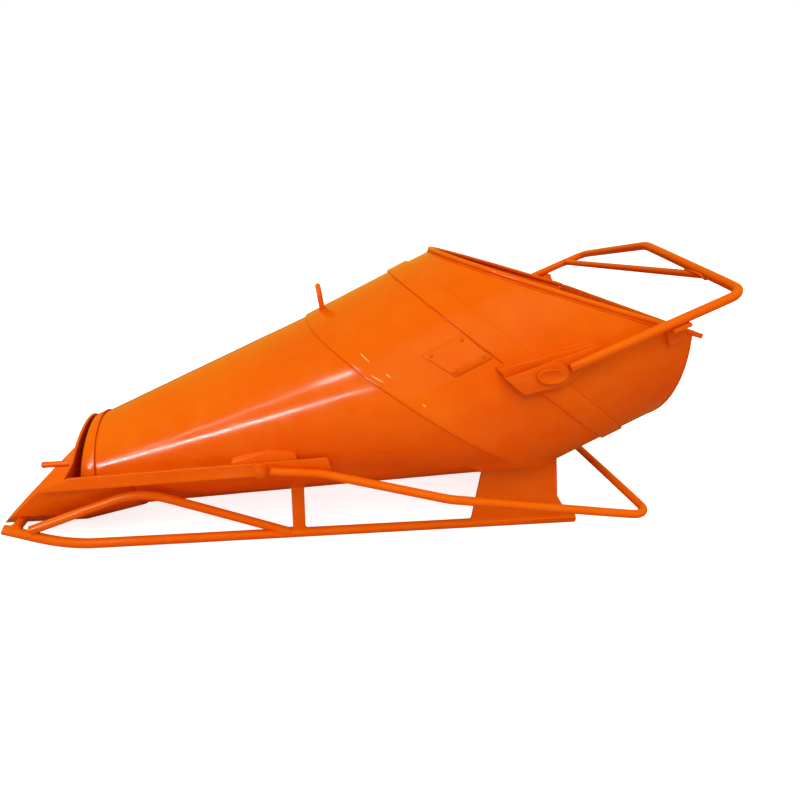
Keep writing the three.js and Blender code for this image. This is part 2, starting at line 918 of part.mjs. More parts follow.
// A point on the closing plate's back, by its height
function closingPoint(y, height) {
  const reach = (height - closingBottomHeight) / closingUp.z;
  return vec(closingBottomX, y, closingBottomHeight).addScaledVector(closingUp, reach);
}

function closingPlate() {
  const centreHeight = closingTopHeight - closingHalfWidth * closingUp.z;
  const half = [
    [closingBottomHalfWidth, closingBottomHeight],
    [closingChamferHalfWidth, closingChamferHeight],
    [closingHalfWidth, closingSideHeight],
    [closingHalfWidth, closingEarBottom],
    [closingEarHalfWidth, closingEarBottom],
    [closingEarHalfWidth, closingEarTop - (closingEarTop - closingEarBottom) / 2],
  ];
  const earAngle = Math.asin((closingEarTop - centreHeight) / closingHalfWidth);
  for (let k = 0; k <= roundSteps; k += 1) {
    const angle = earAngle + (Math.PI / 2 - earAngle) * k / roundSteps;
    const height = centreHeight + closingHalfWidth * closingUp.z * Math.sin(angle);
    half.push([closingHalfWidth * Math.cos(angle), height]);
  }
  const outline = [...half, ...half.slice(0, -1).reverse().map(([y, z]) => [-y, z])];
  const back = outline.map(([y, z]) => closingPoint(y, z));
  const front = back.map((point) => point.clone().addScaledVector(closingOut, closingThickness));
  const blank = platedBody(back, front);
  const between = join(armSideTool(-weldGap, 0), mirrorOf(armSideTool(-weldGap, 0)));
  return common(blank, between);
}

// Two equal outlines in parallel planes, filled as flat shapes and joined at the edge
function platedBody(back, front) {
  const flat = back.map((point) => new THREE.Vector2(point.y, point.z));
  const caps = THREE.ShapeUtils.triangulateShape(flat, []);
  const count = back.length;
  const positions = [...back, ...front].flatMap((point) => point.toArray());
  const triangles = [];
  const clockwise = THREE.ShapeUtils.isClockWise(flat);
  for (const [a, b, c] of caps) {
    triangles.push(a, b, c, count + a, count + c, count + b);
  }
  for (let k = 0; k < count; k += 1) {
    const next = (k + 1) % count;
    const side = [k, count + next, next, k, count + k, count + next];
    triangles.push(...(clockwise ? side.reverse() : side));
  }
  return closedGeometry(positions, triangles);
}

function gateStub() {
  const root = vec(stubRootX + overrun / 2, 0, stubRootHeight);
  const bar = straightBar(root, vec(stubTipX, 0, stubTipHeight), stubDiameter);
  const face = [-overrun, overrun].map((y) => [
    closingPoint(y, closingBottomHeight).addScaledVector(closingOut, closingThickness + weldGap),
    closingPoint(y, closingTopHeight).addScaledVector(closingOut, closingThickness + weldGap),
    closingPoint(y, closingTopHeight).addScaledVector(closingOut, -2 * overrun),
    closingPoint(y, closingBottomHeight).addScaledVector(closingOut, -2 * overrun),
  ]);
  return cut(bar, rowBody(face));
}

function sideCylinder(x, z, diameter, fromSpan, toSpan) {
  const pin = new THREE.CylinderGeometry(diameter / 2, diameter / 2, toSpan - fromSpan, pinSides);
  pin.translate(x, -(fromSpan + toSpan) / 2, z);
  return pin;
}

// A thick pad that fills the wedge between the cone and the arm
function gatePad() {
  const shape = roundedOutline([
    [gatePadFrontX, gatePadBottom],
    [gatePadRearX, gatePadBottom],
    [gatePadRearX, gatePadTop],
    [gatePadCrownX, gatePadTop],
    [gatePadFrontX, pivotHeight + gatePadFrontRise],
  ], gatePadCorner);
  const depth = armSpanAt(gatePadRearX);
  const blank = uprightPlate(shape, depth, gatePadDepth + depth - gateArmSpanAtPivot);
  return common(cut(blank, tools[0]), armSideTool(-gatePadGap, 0));
}

// The outline with each corner replaced by a round of the given radius
function roundedOutline(outline, radius) {
  const found = [];
  const at = (k) => {
    const [x, z] = outline[(k + outline.length) % outline.length];
    return vec(x, 0, z);
  };
  for (let k = 0; k < outline.length; k += 1) {
    for (const point of roundedCorner(at(k - 1), at(k), at(k + 1), radius)) {
      found.push([point.x, point.z]);
    }
  }
  return found;
}

const hubFace = armSpanAt(pivotX) + gateArmThickness + leverHubLength;

function leverHub() {
  const innerTool = armSideTool(gateArmThickness + weldGap, 0);
  const boreTool = sideCylinder(pivotX, pivotHeight, gatePinDiameter + 2 * runningGap, 0, hubFace + overrun);
  const hub = sideCylinder(pivotX, pivotHeight, leverHubDiameter, gateArmSpanAtPivot, hubFace);
  return cut(hub, innerTool, boreTool);
}

function gatePin() {
  const headFace = hubFace + runningGap;
  const from = gateArmSpanAtPivot - overrun;
  const shank = sideCylinder(pivotX, pivotHeight, gatePinDiameter, from, headFace + weldGap);
  const headEnd = headFace + gatePinHeadThickness;
  const head = sideCylinder(pivotX, pivotHeight, gatePinHeadDiameter, headFace, headEnd);
  return cut(join(shank, head), armSideTool(weldGap - gatePadGap, 0));
}

const armOuterTool = () => armSideTool(gateArmThickness + weldGap, 0);

function leverBar() {
  const offset = gateArmThickness + weldGap + leverDiameter / 2;
  const side = (sign) => [
    vec(leverStartX, sign * (armSpanAt(leverStartX) + offset), leverStartHeight),
    vec(leverKneeX, sign * (armSpanAt(leverKneeX) + offset), leverKneeHeight),
    vec(leverFlareX, sign * leverSpan, leverFlareHeight),
    vec(leverEndX, sign * leverSpan, leverEndHeight),
  ];
  const corners = [...side(-1), ...side(1).reverse()];
  const bends = [leverKneeBend, leverKneeBend, leverBend, leverBend, leverKneeBend, leverKneeBend];
  const bar = bentBar(corners, bends, leverDiameter);
  const hubTool = sideCylinder(pivotX, pivotHeight, leverHubDiameter + 2 * weldGap, 0, hubFace + overrun);
  return cut(bar, hubTool, mirrorOf(hubTool), armOuterTool(), mirrorOf(armOuterTool()));
}

function addGate() {
  const bore = gatePinDiameter + 2 * runningGap;
  const holeTool = sideCylinder(pivotX, pivotHeight, bore, 0, hubFace + overrun);
  addPair('gate_pad', gatePad());
  addPair('gate_pin', gatePin());
  addPair('gate_arm', cut(gateArmBlank(), holeTool));
  addPair('lever_hub', leverHub());
  add('lever_bar', leverBar());
  add('closing_plate', closingPlate());
  add('gate_stub', gateStub());
}

// Bail

const bailBaseFace = drumHalfWidth + bailBaseStandoff;
const bailRun = vec(bailShoulderX - bailPivotX, 0, bailShoulderHeight - bailPivotHeight).normalize();
const bailSquare = vec(-bailRun.z, 0, bailRun.x);
const eyeFace = bailBaseFace + runningGap + weldGap;
const strapFace = eyeFace + bailEyeThickness + runningGap + weldGap;
const strapOuter = strapFace + bailStrapThickness;
const bailSpan = eyeFace + bailEyeThickness + weldGap + bailDiameter / 2;

// A point beside the bail arm: along it from the pin, and square to it
function bailPoint(reach, height) {
  const point = vec(bailPivotX, 0, bailPivotHeight).addScaledVector(bailRun, reach);
  return point.addScaledVector(bailSquare, height);
}

function alongArm(outline) {
  return outline.map(([reach, height]) => {
    const point = bailPoint(reach, height);
    return [point.x, point.z];
  });
}

function sidePlate(outline, innerFace, thickness) {
  return uprightPlate(outline, innerFace + thickness, thickness);
}

// Part of an oval round the pin, between two angles
function pinArc(halfLong, halfHigh, fromAngle, toAngle) {
  const found = [];
  for (let k = 0; k <= roundSteps; k += 1) {
    const angle = fromAngle + (toAngle - fromAngle) * k / roundSteps;
    found.push([bailPivotX + halfLong * Math.cos(angle), bailPivotHeight + halfHigh * Math.sin(angle)]);
  }
  return found;
}

function bailBase() {
  const outline = bailBaseShares.map(([x, z]) => {
    return [bailPivotX + x * bailBaseLength, bailPivotHeight + z * bailBaseHeight];
  });
  const blank = uprightPlate(outline, bailBaseFace, bailBaseDepth);
  return cut(blank, ...tools, drumBand(weldGap), rimBar(weldGap));
}

function bailStrap() {
  const topRun = Math.atan2(bailStrapTopDrop, bailStrapTopReach);
  const bottomRun = Math.atan2(bailStrapBottomDrop, bailStrapBottomReach);
  const pin = new THREE.Vector2(bailPivotX, bailPivotHeight);
  const top = new THREE.Vector2(-bailStrapTopReach, -bailStrapTopDrop).add(pin);
  const bottom = new THREE.Vector2(-bailStrapBottomReach, -bailStrapBottomDrop).add(pin);
  const outline = [
    [top.x, top.y],
    [bottom.x, bottom.y],
    ...pinArc(bailStrapLong / 2, bailStrapShort / 2, bottomRun - Math.PI / 2, topRun + Math.PI / 2),
  ];
  const foot = [top, bottom, ...[bottom, top].map((point) => point.clone().lerp(pin, bailStrapFootShare))];
  const footOutline = foot.map((point) => [point.x, point.y]);
  const joined = join(
    sidePlate(outline, strapFace, bailStrapThickness),
    sidePlate(footOutline, bailBaseFace + weldGap, strapFace - bailBaseFace),
  );
  const bore = bailPinDiameter + 2 * weldGap;
  return cut(joined, sideCylinder(bailPivotX, bailPivotHeight, bore, 0, strapOuter + overrun));
}

function bailPin() {
  const headFace = strapOuter + weldGap;
  const outline = [];
  for (let k = 0; k < pinSides; k += 1) {
    const angle = 2 * Math.PI * k / pinSides;
    const [x, z] = [bailPinHeadLong / 2 * Math.cos(angle), bailPinHeadShort / 2 * Math.sin(angle)];
    outline.push([bailPivotX + x, bailPivotHeight + z]);
  }
  const head = sidePlate(outline, headFace, bailPinHeadThickness);
  const from = bailBaseFace + weldGap;
  return join(sideCylinder(bailPivotX, bailPivotHeight, bailPinDiameter, from, headFace + weldGap), head);
}

// A bracket on the drum's side, on whose shelf the bail arm rests
function bailStop() {
  const top = -bailDiameter / 2 - weldGap;
  const block = (low, inner, outer) => {
    const outline = [
      [bailStopReach, low],
      [bailStopReach + bailStopLength, low],
      [bailStopReach + bailStopLength, top],
      [bailStopReach, top],
    ];
    return uprightPlate(alongArm(outline), outer, outer - inner);
  };
  const webInner = drumHalfWidth - overrun / 2;
  const webOuter = drumHalfWidth + rimBarDiameter / 2 + bailStopWeb;
  const shelfOuter = bailSpan + bailDiameter / 2 + bailStopLedge;
  const shelf = block(top - bailStopThickness, webOuter - bailStopWeb, shelfOuter);
  const web = block(top - bailStopDrop, webInner, webOuter);
  return cut(join(shelf, web), ...tools, rimBar(weldGap), mouthTool());
}

// The space over the mouth, inside the outer face of the rim bar
function mouthTool() {
  const half = drumHalfWidth + rimBarDiameter / 2 - sheet / 2 + weldGap;
  const corner = drumPoint(endAt(cornerAngle), cornerAngle).setY(0);
  const place = (reach, height) => {
    const point = corner.clone().addScaledVector(mouthDown, reach).addScaledVector(mouthNormal, height);
    return [point.x, point.z];
  };
  const outline = [
    place(-drumHalfWidth, -sheet),
    place(drumHalfWidth, -sheet),
    place(drumHalfWidth, drumHalfWidth),
    place(-drumHalfWidth, drumHalfWidth),
  ];
  return uprightPlate(outline, half, 2 * half);
}

function bailEye() {
  const radius = bailEyeDiameter / 2;
  const turn = Math.atan2(bailRun.z, bailRun.x);
  const outline = [
    ...pinArc(radius, radius, turn + Math.PI / 2, turn + 3 * Math.PI / 2),
    ...alongArm([[bailEyeReach, -bailEyeTipWidth / 2], [bailEyeReach, bailEyeTipWidth / 2]]),
  ];
  const bore = bailPinDiameter + 2 * runningGap;
  const hole = sideCylinder(bailPivotX, bailPivotHeight, bore, 0, strapOuter + overrun);
  return cut(sidePlate(outline, eyeFace, bailEyeThickness), hole);
}

function bailBar(growth = 0) {
  const start = bailPoint(bailStartReach, 0);
  const side = (sign) => [
    start.clone().setY(sign * bailSpan),
    vec(bailShoulderX, sign * bailSpan, bailShoulderHeight),
  ];
  const corners = [...side(-1), vec(bailApexX, 0, bailApexHeight), ...side(1).reverse()];
  return bentBar(corners, [bailShoulderBend, bailApexBend, bailShoulderBend], bailDiameter + 2 * growth);
}

function bailTie() {
  const nearShare = -bailTieNearY / bailSpan;
  const near = vec(bailApexX, 0, bailApexHeight)
    .lerp(vec(bailShoulderX, -bailSpan, bailShoulderHeight), nearShare);
  const tie = straightBar(near, vec(bailTieFarX, bailSpan, bailTieFarHeight), bailTieDiameter);
  return cut(tie, bailBar(weldGap));
}

function addBail() {
  addPair('bail_base', bailBase());
  addPair('bail_strap', bailStrap());
  addPair('bail_pin', bailPin());
  addPair('bail_stop', bailStop());
  addPair('bail_eye', bailEye());
  add('bail_bar', bailBar());
  add('bail_tie', bailTie());
}

addBody();
addSled();
addGate();
addBail();

// The origin is under the middle of the bucket's length
const box = new THREE.Box3().setFromObject(model);
const shift = -(box.min.x + box.max.x) / 2;
model.traverse((node) => {
  if (node.isMesh) node.geometry.translate(shift, 0, 0);
});

export default model;
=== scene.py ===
"""Sled bucket: smooth shells, eased plates and bars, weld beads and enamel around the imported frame."""

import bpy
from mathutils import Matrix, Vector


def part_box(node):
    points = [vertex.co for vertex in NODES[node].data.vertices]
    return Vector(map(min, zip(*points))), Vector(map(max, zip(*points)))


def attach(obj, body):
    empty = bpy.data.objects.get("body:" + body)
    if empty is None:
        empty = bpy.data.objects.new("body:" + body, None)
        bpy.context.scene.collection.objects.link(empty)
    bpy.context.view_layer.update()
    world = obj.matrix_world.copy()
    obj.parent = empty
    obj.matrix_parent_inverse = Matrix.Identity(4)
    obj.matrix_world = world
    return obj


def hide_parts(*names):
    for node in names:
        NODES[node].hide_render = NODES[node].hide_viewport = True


bl_info = {
    "name": "Sled bucket",
    "version": (1, 0, 0),
    "blender": (4, 5, 0),
    "location": "View3D > Sidebar > Sled bucket",
    "description": "Builds a painted concrete skip on its runners around its packed frame",
    "category": "Add Mesh",
}

import math

import bmesh
import bpy
from mathutils import Matrix, Vector
from mathutils.bvhtree import BVHTree
from mathutils.noise import noise

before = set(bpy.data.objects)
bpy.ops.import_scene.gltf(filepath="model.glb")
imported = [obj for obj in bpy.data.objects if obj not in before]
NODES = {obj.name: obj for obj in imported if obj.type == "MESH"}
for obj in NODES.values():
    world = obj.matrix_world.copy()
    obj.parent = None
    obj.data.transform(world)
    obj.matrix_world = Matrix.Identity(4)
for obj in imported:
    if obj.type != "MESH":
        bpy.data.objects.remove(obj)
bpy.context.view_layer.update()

MM = 0.001
# The sole ends this far behind the drum's centre, which lies at SHIFT along the frame's X
SOLE_END = 0.444
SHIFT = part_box("runner_l")[1].x - SOLE_END
DRUM_HALF_WIDTH = 0.480
DRUM_HALF_HEIGHT = 0.420
CLIMB = math.radians(27.1)
DRUM_CENTRE = Vector((SHIFT, 0, 0.508))
ALONG = Vector((math.cos(CLIMB), 0, math.sin(CLIMB)))
ACROSS = Vector((-math.sin(CLIMB), 0, math.cos(CLIMB)))
SIDEWAYS = Vector((0, -1, 0))
# Planes across the drum: the place on its axis, and the lean against its square section
SEAM = (-0.1063, math.tan(math.radians(-32.4)))
BAND = (0.1671, math.tan(math.radians(-27.9)))
BAND_WIDTH = 0.0735
END = (0.6359, math.tan(math.radians(15.7)))
MOUTH = (0.0948 + DRUM_HALF_HEIGHT / math.tan(math.radians(41.3)), -1 / math.tan(math.radians(41.3)))
LAP = 0.018
WELD_GAP = 0.0003
OUTLET_CENTRE = Vector((SHIFT - 1.268, 0, 0.2115))
OUTLET_UP = Vector((math.sin(math.radians(9)), 0, math.cos(math.radians(9))))
OUTLET_RADIUS = 0.1623
FULL_TURN = 2 * math.pi


class ShellSizes(bpy.types.PropertyGroup):
    """Sizes of the rolled sheet"""
    sheet: bpy.props.FloatProperty(
        name="Sheet", description="Thickness of the rolled sheet", default=6 * MM, unit="LENGTH")
    sides: bpy.props.IntProperty(
        name="Sides", description="Facets round the drum and the cone", default=192, min=48)
    rings: bpy.props.IntProperty(
        name="Rings", description="Rows of faces along each shell", default=40, min=8)
    waviness: bpy.props.FloatProperty(
        name="Waviness", description="How far the rolled sheet departs from true",
        default=0.9 * MM, unit="LENGTH")
    wave_length: bpy.props.FloatProperty(
        name="Wave length", description="Size of the waves in the sheet", default=0.16, unit="LENGTH")
    rim_ease: bpy.props.FloatProperty(
        name="Rim ease", description="Rounding of the sheet's cut edges",
        default=1.4 * MM, unit="LENGTH")


class FittingSizes(bpy.types.PropertyGroup):
    """Sizes of the plates, bars, pins and welds"""
    plate_ease: bpy.props.FloatProperty(
        name="Plate ease", description="Rounding of the plates' edges", default=1.3 * MM, unit="LENGTH")
    bar_levels: bpy.props.IntProperty(
        name="Bar levels", description="Smoothing steps of the round bars", default=2, min=0, max=3)
    weld_radius: bpy.props.FloatProperty(
        name="Weld radius", description="Half the width of a weld bead", default=3.6 * MM, unit="LENGTH")
    ripple: bpy.props.FloatProperty(
        name="Ripple", description="Spacing of the ripples in a weld bead",
        default=4.2 * MM, unit="LENGTH")


class PaintLook(bpy.types.PropertyGroup):
    """Colour and gloss of the enamel"""
    orange: bpy.props.FloatVectorProperty(
        name="Orange", description="Colour of the enamel", default=(0.88, 0.150, 0.0), size=3,
        subtype="COLOR", min=0, max=1)
    # Darker orange: painted shade on faces that look down, and the darker drifts of tone at random
    shade_and_drift_orange: bpy.props.FloatVectorProperty(
        name="Deep orange", description="Enamel where it lies thick", default=(0.80, 0.054, 0.0), size=3,
        subtype="COLOR", min=0, max=1)
    steel: bpy.props.FloatVectorProperty(
        name="Steel", description="Bare steel where the paint is scraped off",
        default=(0.32, 0.30, 0.28), size=3, subtype="COLOR", min=0, max=1)
    gloss: bpy.props.FloatProperty(
        name="Roughness", description="Roughness of sound paint",
        default=0.13, min=0, max=1, subtype="FACTOR")


class StageLook(bpy.types.PropertyGroup):
    """Floor, light and camera"""
    floor_size: bpy.props.FloatProperty(
        name="Floor", description="Width of the floor", default=60.0, unit="LENGTH")
    sun_strength: bpy.props.FloatProperty(
        name="Key light", description="Strength of the wide key light", default=1.85, min=0)
    sky_strength: bpy.props.FloatProperty(
        name="Sky", description="Strength of the even light from all sides", default=0.46, min=0)
    tube_power: bpy.props.FloatProperty(
        name="Tubes", description="Power that the tube lights share out", default=80.0, min=0)


# ---------------------------------------------------------------- mesh tools

def only(obj):
    if bpy.context.object and bpy.context.object.mode != "OBJECT":
        bpy.ops.object.mode_set(mode="OBJECT")
    bpy.ops.object.select_all(action="DESELECT")
    obj.select_set(True)
    bpy.context.view_layer.objects.active = obj


def edit(obj, kind="FACE"):
    only(obj)
    bpy.ops.object.mode_set(mode="EDIT")
    bpy.ops.mesh.select_mode(type=kind)
    bpy.ops.mesh.select_all(action="DESELECT")


def leave():
    bpy.ops.object.mode_set(mode="OBJECT")


def modify(obj, kind, **settings):
    """Adds a modifier with these settings and applies it"""
    only(obj)
    modifier = obj.modifiers.new(kind.title(), kind)
    for name, value in settings.items():
        setattr(modifier, name, value)
    bpy.ops.object.modifier_apply(modifier=modifier.name)


def smooth(obj, degrees=32):
    only(obj)
    bpy.ops.object.shade_smooth_by_angle(angle=math.radians(degrees))


def place_mesh(obj):
    only(obj)
    bpy.ops.object.transform_apply(location=True, rotation=True, scale=True)


def pick(obj, edges):
    """Selects edges by a test, in edit mode"""
    mesh = bmesh.from_edit_mesh(obj.data)
    for face in mesh.faces:
        face.select_set(False)
    for edge in mesh.edges:
        edge.select_set(bool(edges(edge)))
    bmesh.update_edit_mesh(obj.data)


def merged_copy(node, name, merge=0.02 * MM, whole_faces=True):
    """A copy of a CAD node with its loose triangles joined, and its flat faces made whole"""
    copy = bpy.data.objects.new(name, NODES[node].data.copy())
    bpy.context.scene.collection.objects.link(copy)
    edit(copy)
    bpy.ops.mesh.select_all(action="SELECT")
    bpy.ops.mesh.remove_doubles(threshold=merge)
    bpy.ops.mesh.tris_convert_to_quads(face_threshold=math.radians(4), shape_threshold=math.pi)
    if whole_faces:
        bpy.ops.mesh.select_all(action="SELECT")
        bpy.ops.mesh.dissolve_limited(angle_limit=math.radians(0.4))
    leave()
    return copy


def eased(obj, width):
    """Rounds the sharp edges of a plate or a pin"""
    modify(obj, "BEVEL", width=width, segments=3, limit_method="ANGLE",
           angle_limit=math.radians(34), use_clamp_overlap=True)
    smooth(obj, 30)


def crease_sharp(obj, degrees=34):
    """Creases the edges that the smoothing is to keep"""
    edit(obj, "EDGE")
    pick(obj, edges=lambda edge: len(edge.link_faces) == 2
         and edge.calc_face_angle(0) > math.radians(degrees))
    bpy.ops.transform.edge_crease(value=1)
    leave()


def finished(obj, body, slot, *nodes):
    """Paints a piece, lets it ride on its body and hides the CAD nodes it stands for"""
    obj.data.materials.clear()
    obj.data.materials.append(bpy.data.materials["enamel_" + slot])
    for polygon in obj.data.polygons:
        polygon.material_index = 0
    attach(obj, body)
    if nodes:
        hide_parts(*nodes)
    return obj


# ---------------------------------------------------------------- the shells' geometry

def drum_point(station, angle, growth=0.0):
    return (DRUM_CENTRE + ALONG * station
            + ACROSS * ((DRUM_HALF_HEIGHT + growth) * math.cos(angle))
            + SIDEWAYS * ((DRUM_HALF_WIDTH + growth) * math.sin(angle)))


def leaning(plane, angle, growth=0.0):
    return plane[0] + plane[1] * (DRUM_HALF_HEIGHT + growth) * math.cos(angle)


def seam_point(angle, growth=0.0, offset=0.0):
    return drum_point(leaning(SEAM, angle, growth) + offset, angle, growth)


def outlet_point(angle, growth=0.0):
    radius = OUTLET_RADIUS + growth
    return OUTLET_CENTRE + OUTLET_UP * (radius * math.cos(angle)) + SIDEWAYS * (radius * math.sin(angle))


def cone_point(share, angle, growth=0.0):
    inner = -6 * MM - WELD_GAP + growth
    return outlet_point(angle, growth).lerp(seam_point(angle, inner), share)


# The angle from the crest at which the mouth plane meets the end wall
CORNER_RISE = (MOUTH[0] - END[0]) / (END[1] - MOUTH[1])
CORNER = math.acos(CORNER_RISE / DRUM_HALF_HEIGHT)


def plane_of(plane, offset=0.0):
    """A point and the normal of a plane that leans against the drum's square section"""
    normal = (ALONG - ACROSS * plane[1]).normalized()
    return DRUM_CENTRE + ALONG * (plane[0] + offset), normal


def drum_tube(name, growth, keep_after, keep_before):
    """An open tube on the drum's section, cut by leaning planes"""
    shell = bpy.context.scene.bucket_shell
    bpy.ops.mesh.primitive_cylinder_add(
        vertices=shell.sides, radius=1, depth=2, end_fill_type="NOTHING", location=DRUM_CENTRE,
        rotation=(0, math.pi / 2 - CLIMB, 0),
        scale=(DRUM_HALF_HEIGHT + growth, DRUM_HALF_WIDTH + growth, 1.3))
    tube = bpy.context.object
    tube.name = name
    place_mesh(tube)
    cuts = [(plane, False) for plane in keep_after] + [(plane, True) for plane in keep_before]
    for (point, normal), outer in cuts:
        edit(tube)
        bpy.ops.mesh.select_all(action="SELECT")
        bpy.ops.mesh.bisect(plane_co=point, plane_no=normal, clear_inner=not outer, clear_outer=outer)
        leave()
    return tube


def add_rings(obj, count):
    """Rows of faces along a tube, so that it can be wavy"""
    edit(obj, "EDGE")
    pick(obj, edges=lambda edge: len(edge.link_faces) == 2
         and abs((edge.verts[1].co - edge.verts[0].co).normalized().dot(ALONG)) > 0.8)
    bpy.ops.mesh.subdivide(number_cuts=count)
    leave()


def wavy(obj):
    shell = bpy.context.scene.bucket_shell
    texture = bpy.data.textures.new(obj.name + "_waves", "CLOUDS")
    texture.noise_scale = shell.wave_length
    texture.noise_depth = 1
    modify(obj, "DISPLACE", texture=texture, texture_coords="LOCAL",
           strength=shell.waviness * 2, mid_level=0.5)


def walled(obj, thickness, outward=False):
    shell = bpy.context.scene.bucket_shell
    modify(obj, "SOLIDIFY", thickness=thickness, offset=1 if outward else -1, use_even_offset=True)
    modify(obj, "BEVEL", width=shell.rim_ease, segments=3, limit_method="ANGLE",
           angle_limit=math.radians(50))
    smooth(obj, 40)


def add_ring(centre, down, half_width, sides):
    """A circle stretched to a leaning ring"""
    bpy.ops.mesh.primitive_circle_add(
        vertices=sides, radius=1, location=centre, rotation=(0, math.atan2(-down.z, down.x), 0))
    ring = bpy.context.object
    ring.scale = (down.length, half_width, 1)
    place_mesh(ring)
    return ring


class BUCKET_OT_drum(bpy.types.Operator):
    """Rolled drum, cut by the mouth, the end wall and the seam"""
    bl_idname = "bucket.drum"
    bl_label = "Drum"

    def execute(self, context):
        shell = context.scene.bucket_shell
        drum = drum_tube("drum_wall", 0, [plane_of(SEAM)], [plane_of(MOUTH), plane_of(END)])
        add_rings(drum, shell.rings)
        wavy(drum)
        walled(drum, shell.sheet)
        finished(drum, "bucket", "shell_paint", "drum_shell")
        return {"FINISHED"}


class BUCKET_OT_cone(bpy.types.Operator):
    """Rolled cone from the round outlet into the drum's open end"""
    bl_idname = "bucket.cone"
    bl_label = "Cone"

    def execute(self, context):
        shell = context.scene.bucket_shell
        inner = -shell.sheet - WELD_GAP
        seam_centre = DRUM_CENTRE + ALONG * SEAM[0]
        seam_down = -(ACROSS + ALONG * SEAM[1]) * (DRUM_HALF_HEIGHT + inner)
        cone = add_ring(OUTLET_CENTRE, -OUTLET_UP * OUTLET_RADIUS, OUTLET_RADIUS, shell.sides)
        cone.name = "cone_wall"
        seam = add_ring(seam_centre, seam_down, DRUM_HALF_WIDTH + inner, shell.sides)
        only(cone)
        seam.select_set(True)
        bpy.ops.object.join()
        edit(cone, "EDGE")
        bpy.ops.mesh.select_all(action="SELECT")
        bpy.ops.mesh.bridge_edge_loops(number_cuts=shell.rings, interpolation="LINEAR")
        pick(cone, edges=lambda edge: len(edge.link_faces) == 1
             and (edge.verts[0].co - seam_centre).length < (edge.verts[0].co - OUTLET_CENTRE).length)
        bpy.ops.mesh.extrude_region_move(TRANSFORM_OT_translate={"value": ALONG * LAP})
        bpy.ops.mesh.select_all(action="SELECT")
        bpy.ops.mesh.normals_make_consistent(inside=False)
        leave()
        wavy(cone)
        walled(cone, shell.sheet)
        finished(cone, "bucket", "shell_paint", "cone_shell")
        return {"FINISHED"}


class BUCKET_OT_band(bpy.types.Operator):
    """Flat band rolled round the drum"""
    bl_idname = "bucket.band"
    bl_label = "Band"

    def execute(self, context):
        shell = context.scene.bucket_shell
        band = drum_tube("drum_hoop", WELD_GAP, [plane_of(BAND)], [plane_of(BAND, BAND_WIDTH)])
        add_rings(band, 3)
        wavy(band)
        walled(band, shell.sheet, outward=True)
        finished(band, "bucket", "shell_paint", "drum_band")
        return {"FINISHED"}


# ---------------------------------------------------------------- plates, bars and pins

# Piece: node, body, slot. A paired piece and node end in l or r
PLATES = {
    "end_wall": ("end_plate", "bucket", "shell_paint"),
    "end_wall_lip": ("end_lip", "bucket", "shell_paint"),
    "collar": ("outlet_collar", "bucket", "shell_paint"),
    "blank_plate": ("name_plate", "bucket", "shell_paint"),
    "trough_sheet": ("trough", "bucket", "sled_paint"),
    "gate_sheet": ("closing_plate", "gate", "gate_paint"),
}
PAIRED_PLATES = {
    "post_strip": ("post", "bucket", "sled_paint"),
    "rear_gusset": ("rear_plate", "bucket", "sled_paint"),
    "pivot_pad": ("gate_pad", "bucket", "shell_paint"),
    "bail_seat": ("bail_base", "bucket", "shell_paint"),
    "bail_keeper": ("bail_strap", "bucket", "bail_paint"),
    "bail_rest": ("bail_stop", "bucket", "shell_paint"),
    "gate_strip": ("gate_arm", "gate", "gate_paint"),
    "bail_lug": ("bail_eye", "bail", "bail_paint"),
}
BARS = {
    "mouth_rod": ("rim_bar", "bucket", "shell_paint"),
    "crest_loop": ("tag_eye", "bucket", "shell_paint"),
    "rear_cross_pipe": ("rear_crossbar", "bucket", "sled_paint"),
    "hand_lever": ("lever_bar", "gate", "gate_paint"),
    "latch_rod": ("gate_stub", "gate", "gate_paint"),
    "bail_rod": ("bail_bar", "bail", "bail_paint"),
    "bail_tie_rod": ("bail_tie", "bail", "bail_paint"),
}
PAIRED_BARS = {
    "runner_pipe": ("runner", "bucket", "sled_paint"),
    "hump_pipe": ("hump_bar", "bucket", "sled_paint"),
    "front_strut": ("front_stay", "bucket", "sled_paint"),
}
SIDES = ("l", "r")


def both_sides(table):
    return {f"{piece}_{side}": (f"{node}_{side}", body, slot)
            for piece, (node, body, slot) in table.items() for side in SIDES}


class BUCKET_OT_plates(bpy.types.Operator):
    """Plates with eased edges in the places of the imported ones"""
    bl_idname = "bucket.plates"
    bl_label = "Plates"

    def execute(self, context):
        ease = context.scene.bucket_fittings.plate_ease
        for piece, (node, body, slot) in {**PLATES, **both_sides(PAIRED_PLATES)}.items():
            plate = merged_copy(node, piece, 0.4 * MM)
            eased(plate, ease)
            finished(plate, body, slot, node)
        return {"FINISHED"}


class BUCKET_OT_bars(bpy.types.Operator):
    """Round bars and pipes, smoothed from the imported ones"""
    bl_idname = "bucket.bars"
    bl_label = "Bars"

    def execute(self, context):
        levels = context.scene.bucket_fittings.bar_levels
        for piece, (node, body, slot) in {**BARS, **both_sides(PAIRED_BARS)}.items():
            bar = merged_copy(node, piece, whole_faces=False)
            crease_sharp(bar)
            modify(bar, "SUBSURF", levels=levels, render_levels=levels)
            smooth(bar, 40)
            finished(bar, body, slot, node)
        return {"FINISHED"}


def outer_face(obj, side):
    """The face that looks straight out on the bucket's side"""
    sign = -1 if side == "l" else 1
    flat = [polygon for polygon in obj.data.polygons if polygon.normal.y * sign > 0.99]
    reach = max(polygon.center.y * sign for polygon in flat)
    return max((p for p in flat if p.center.y * sign > reach - 0.1 * MM), key=lambda p: p.area).index


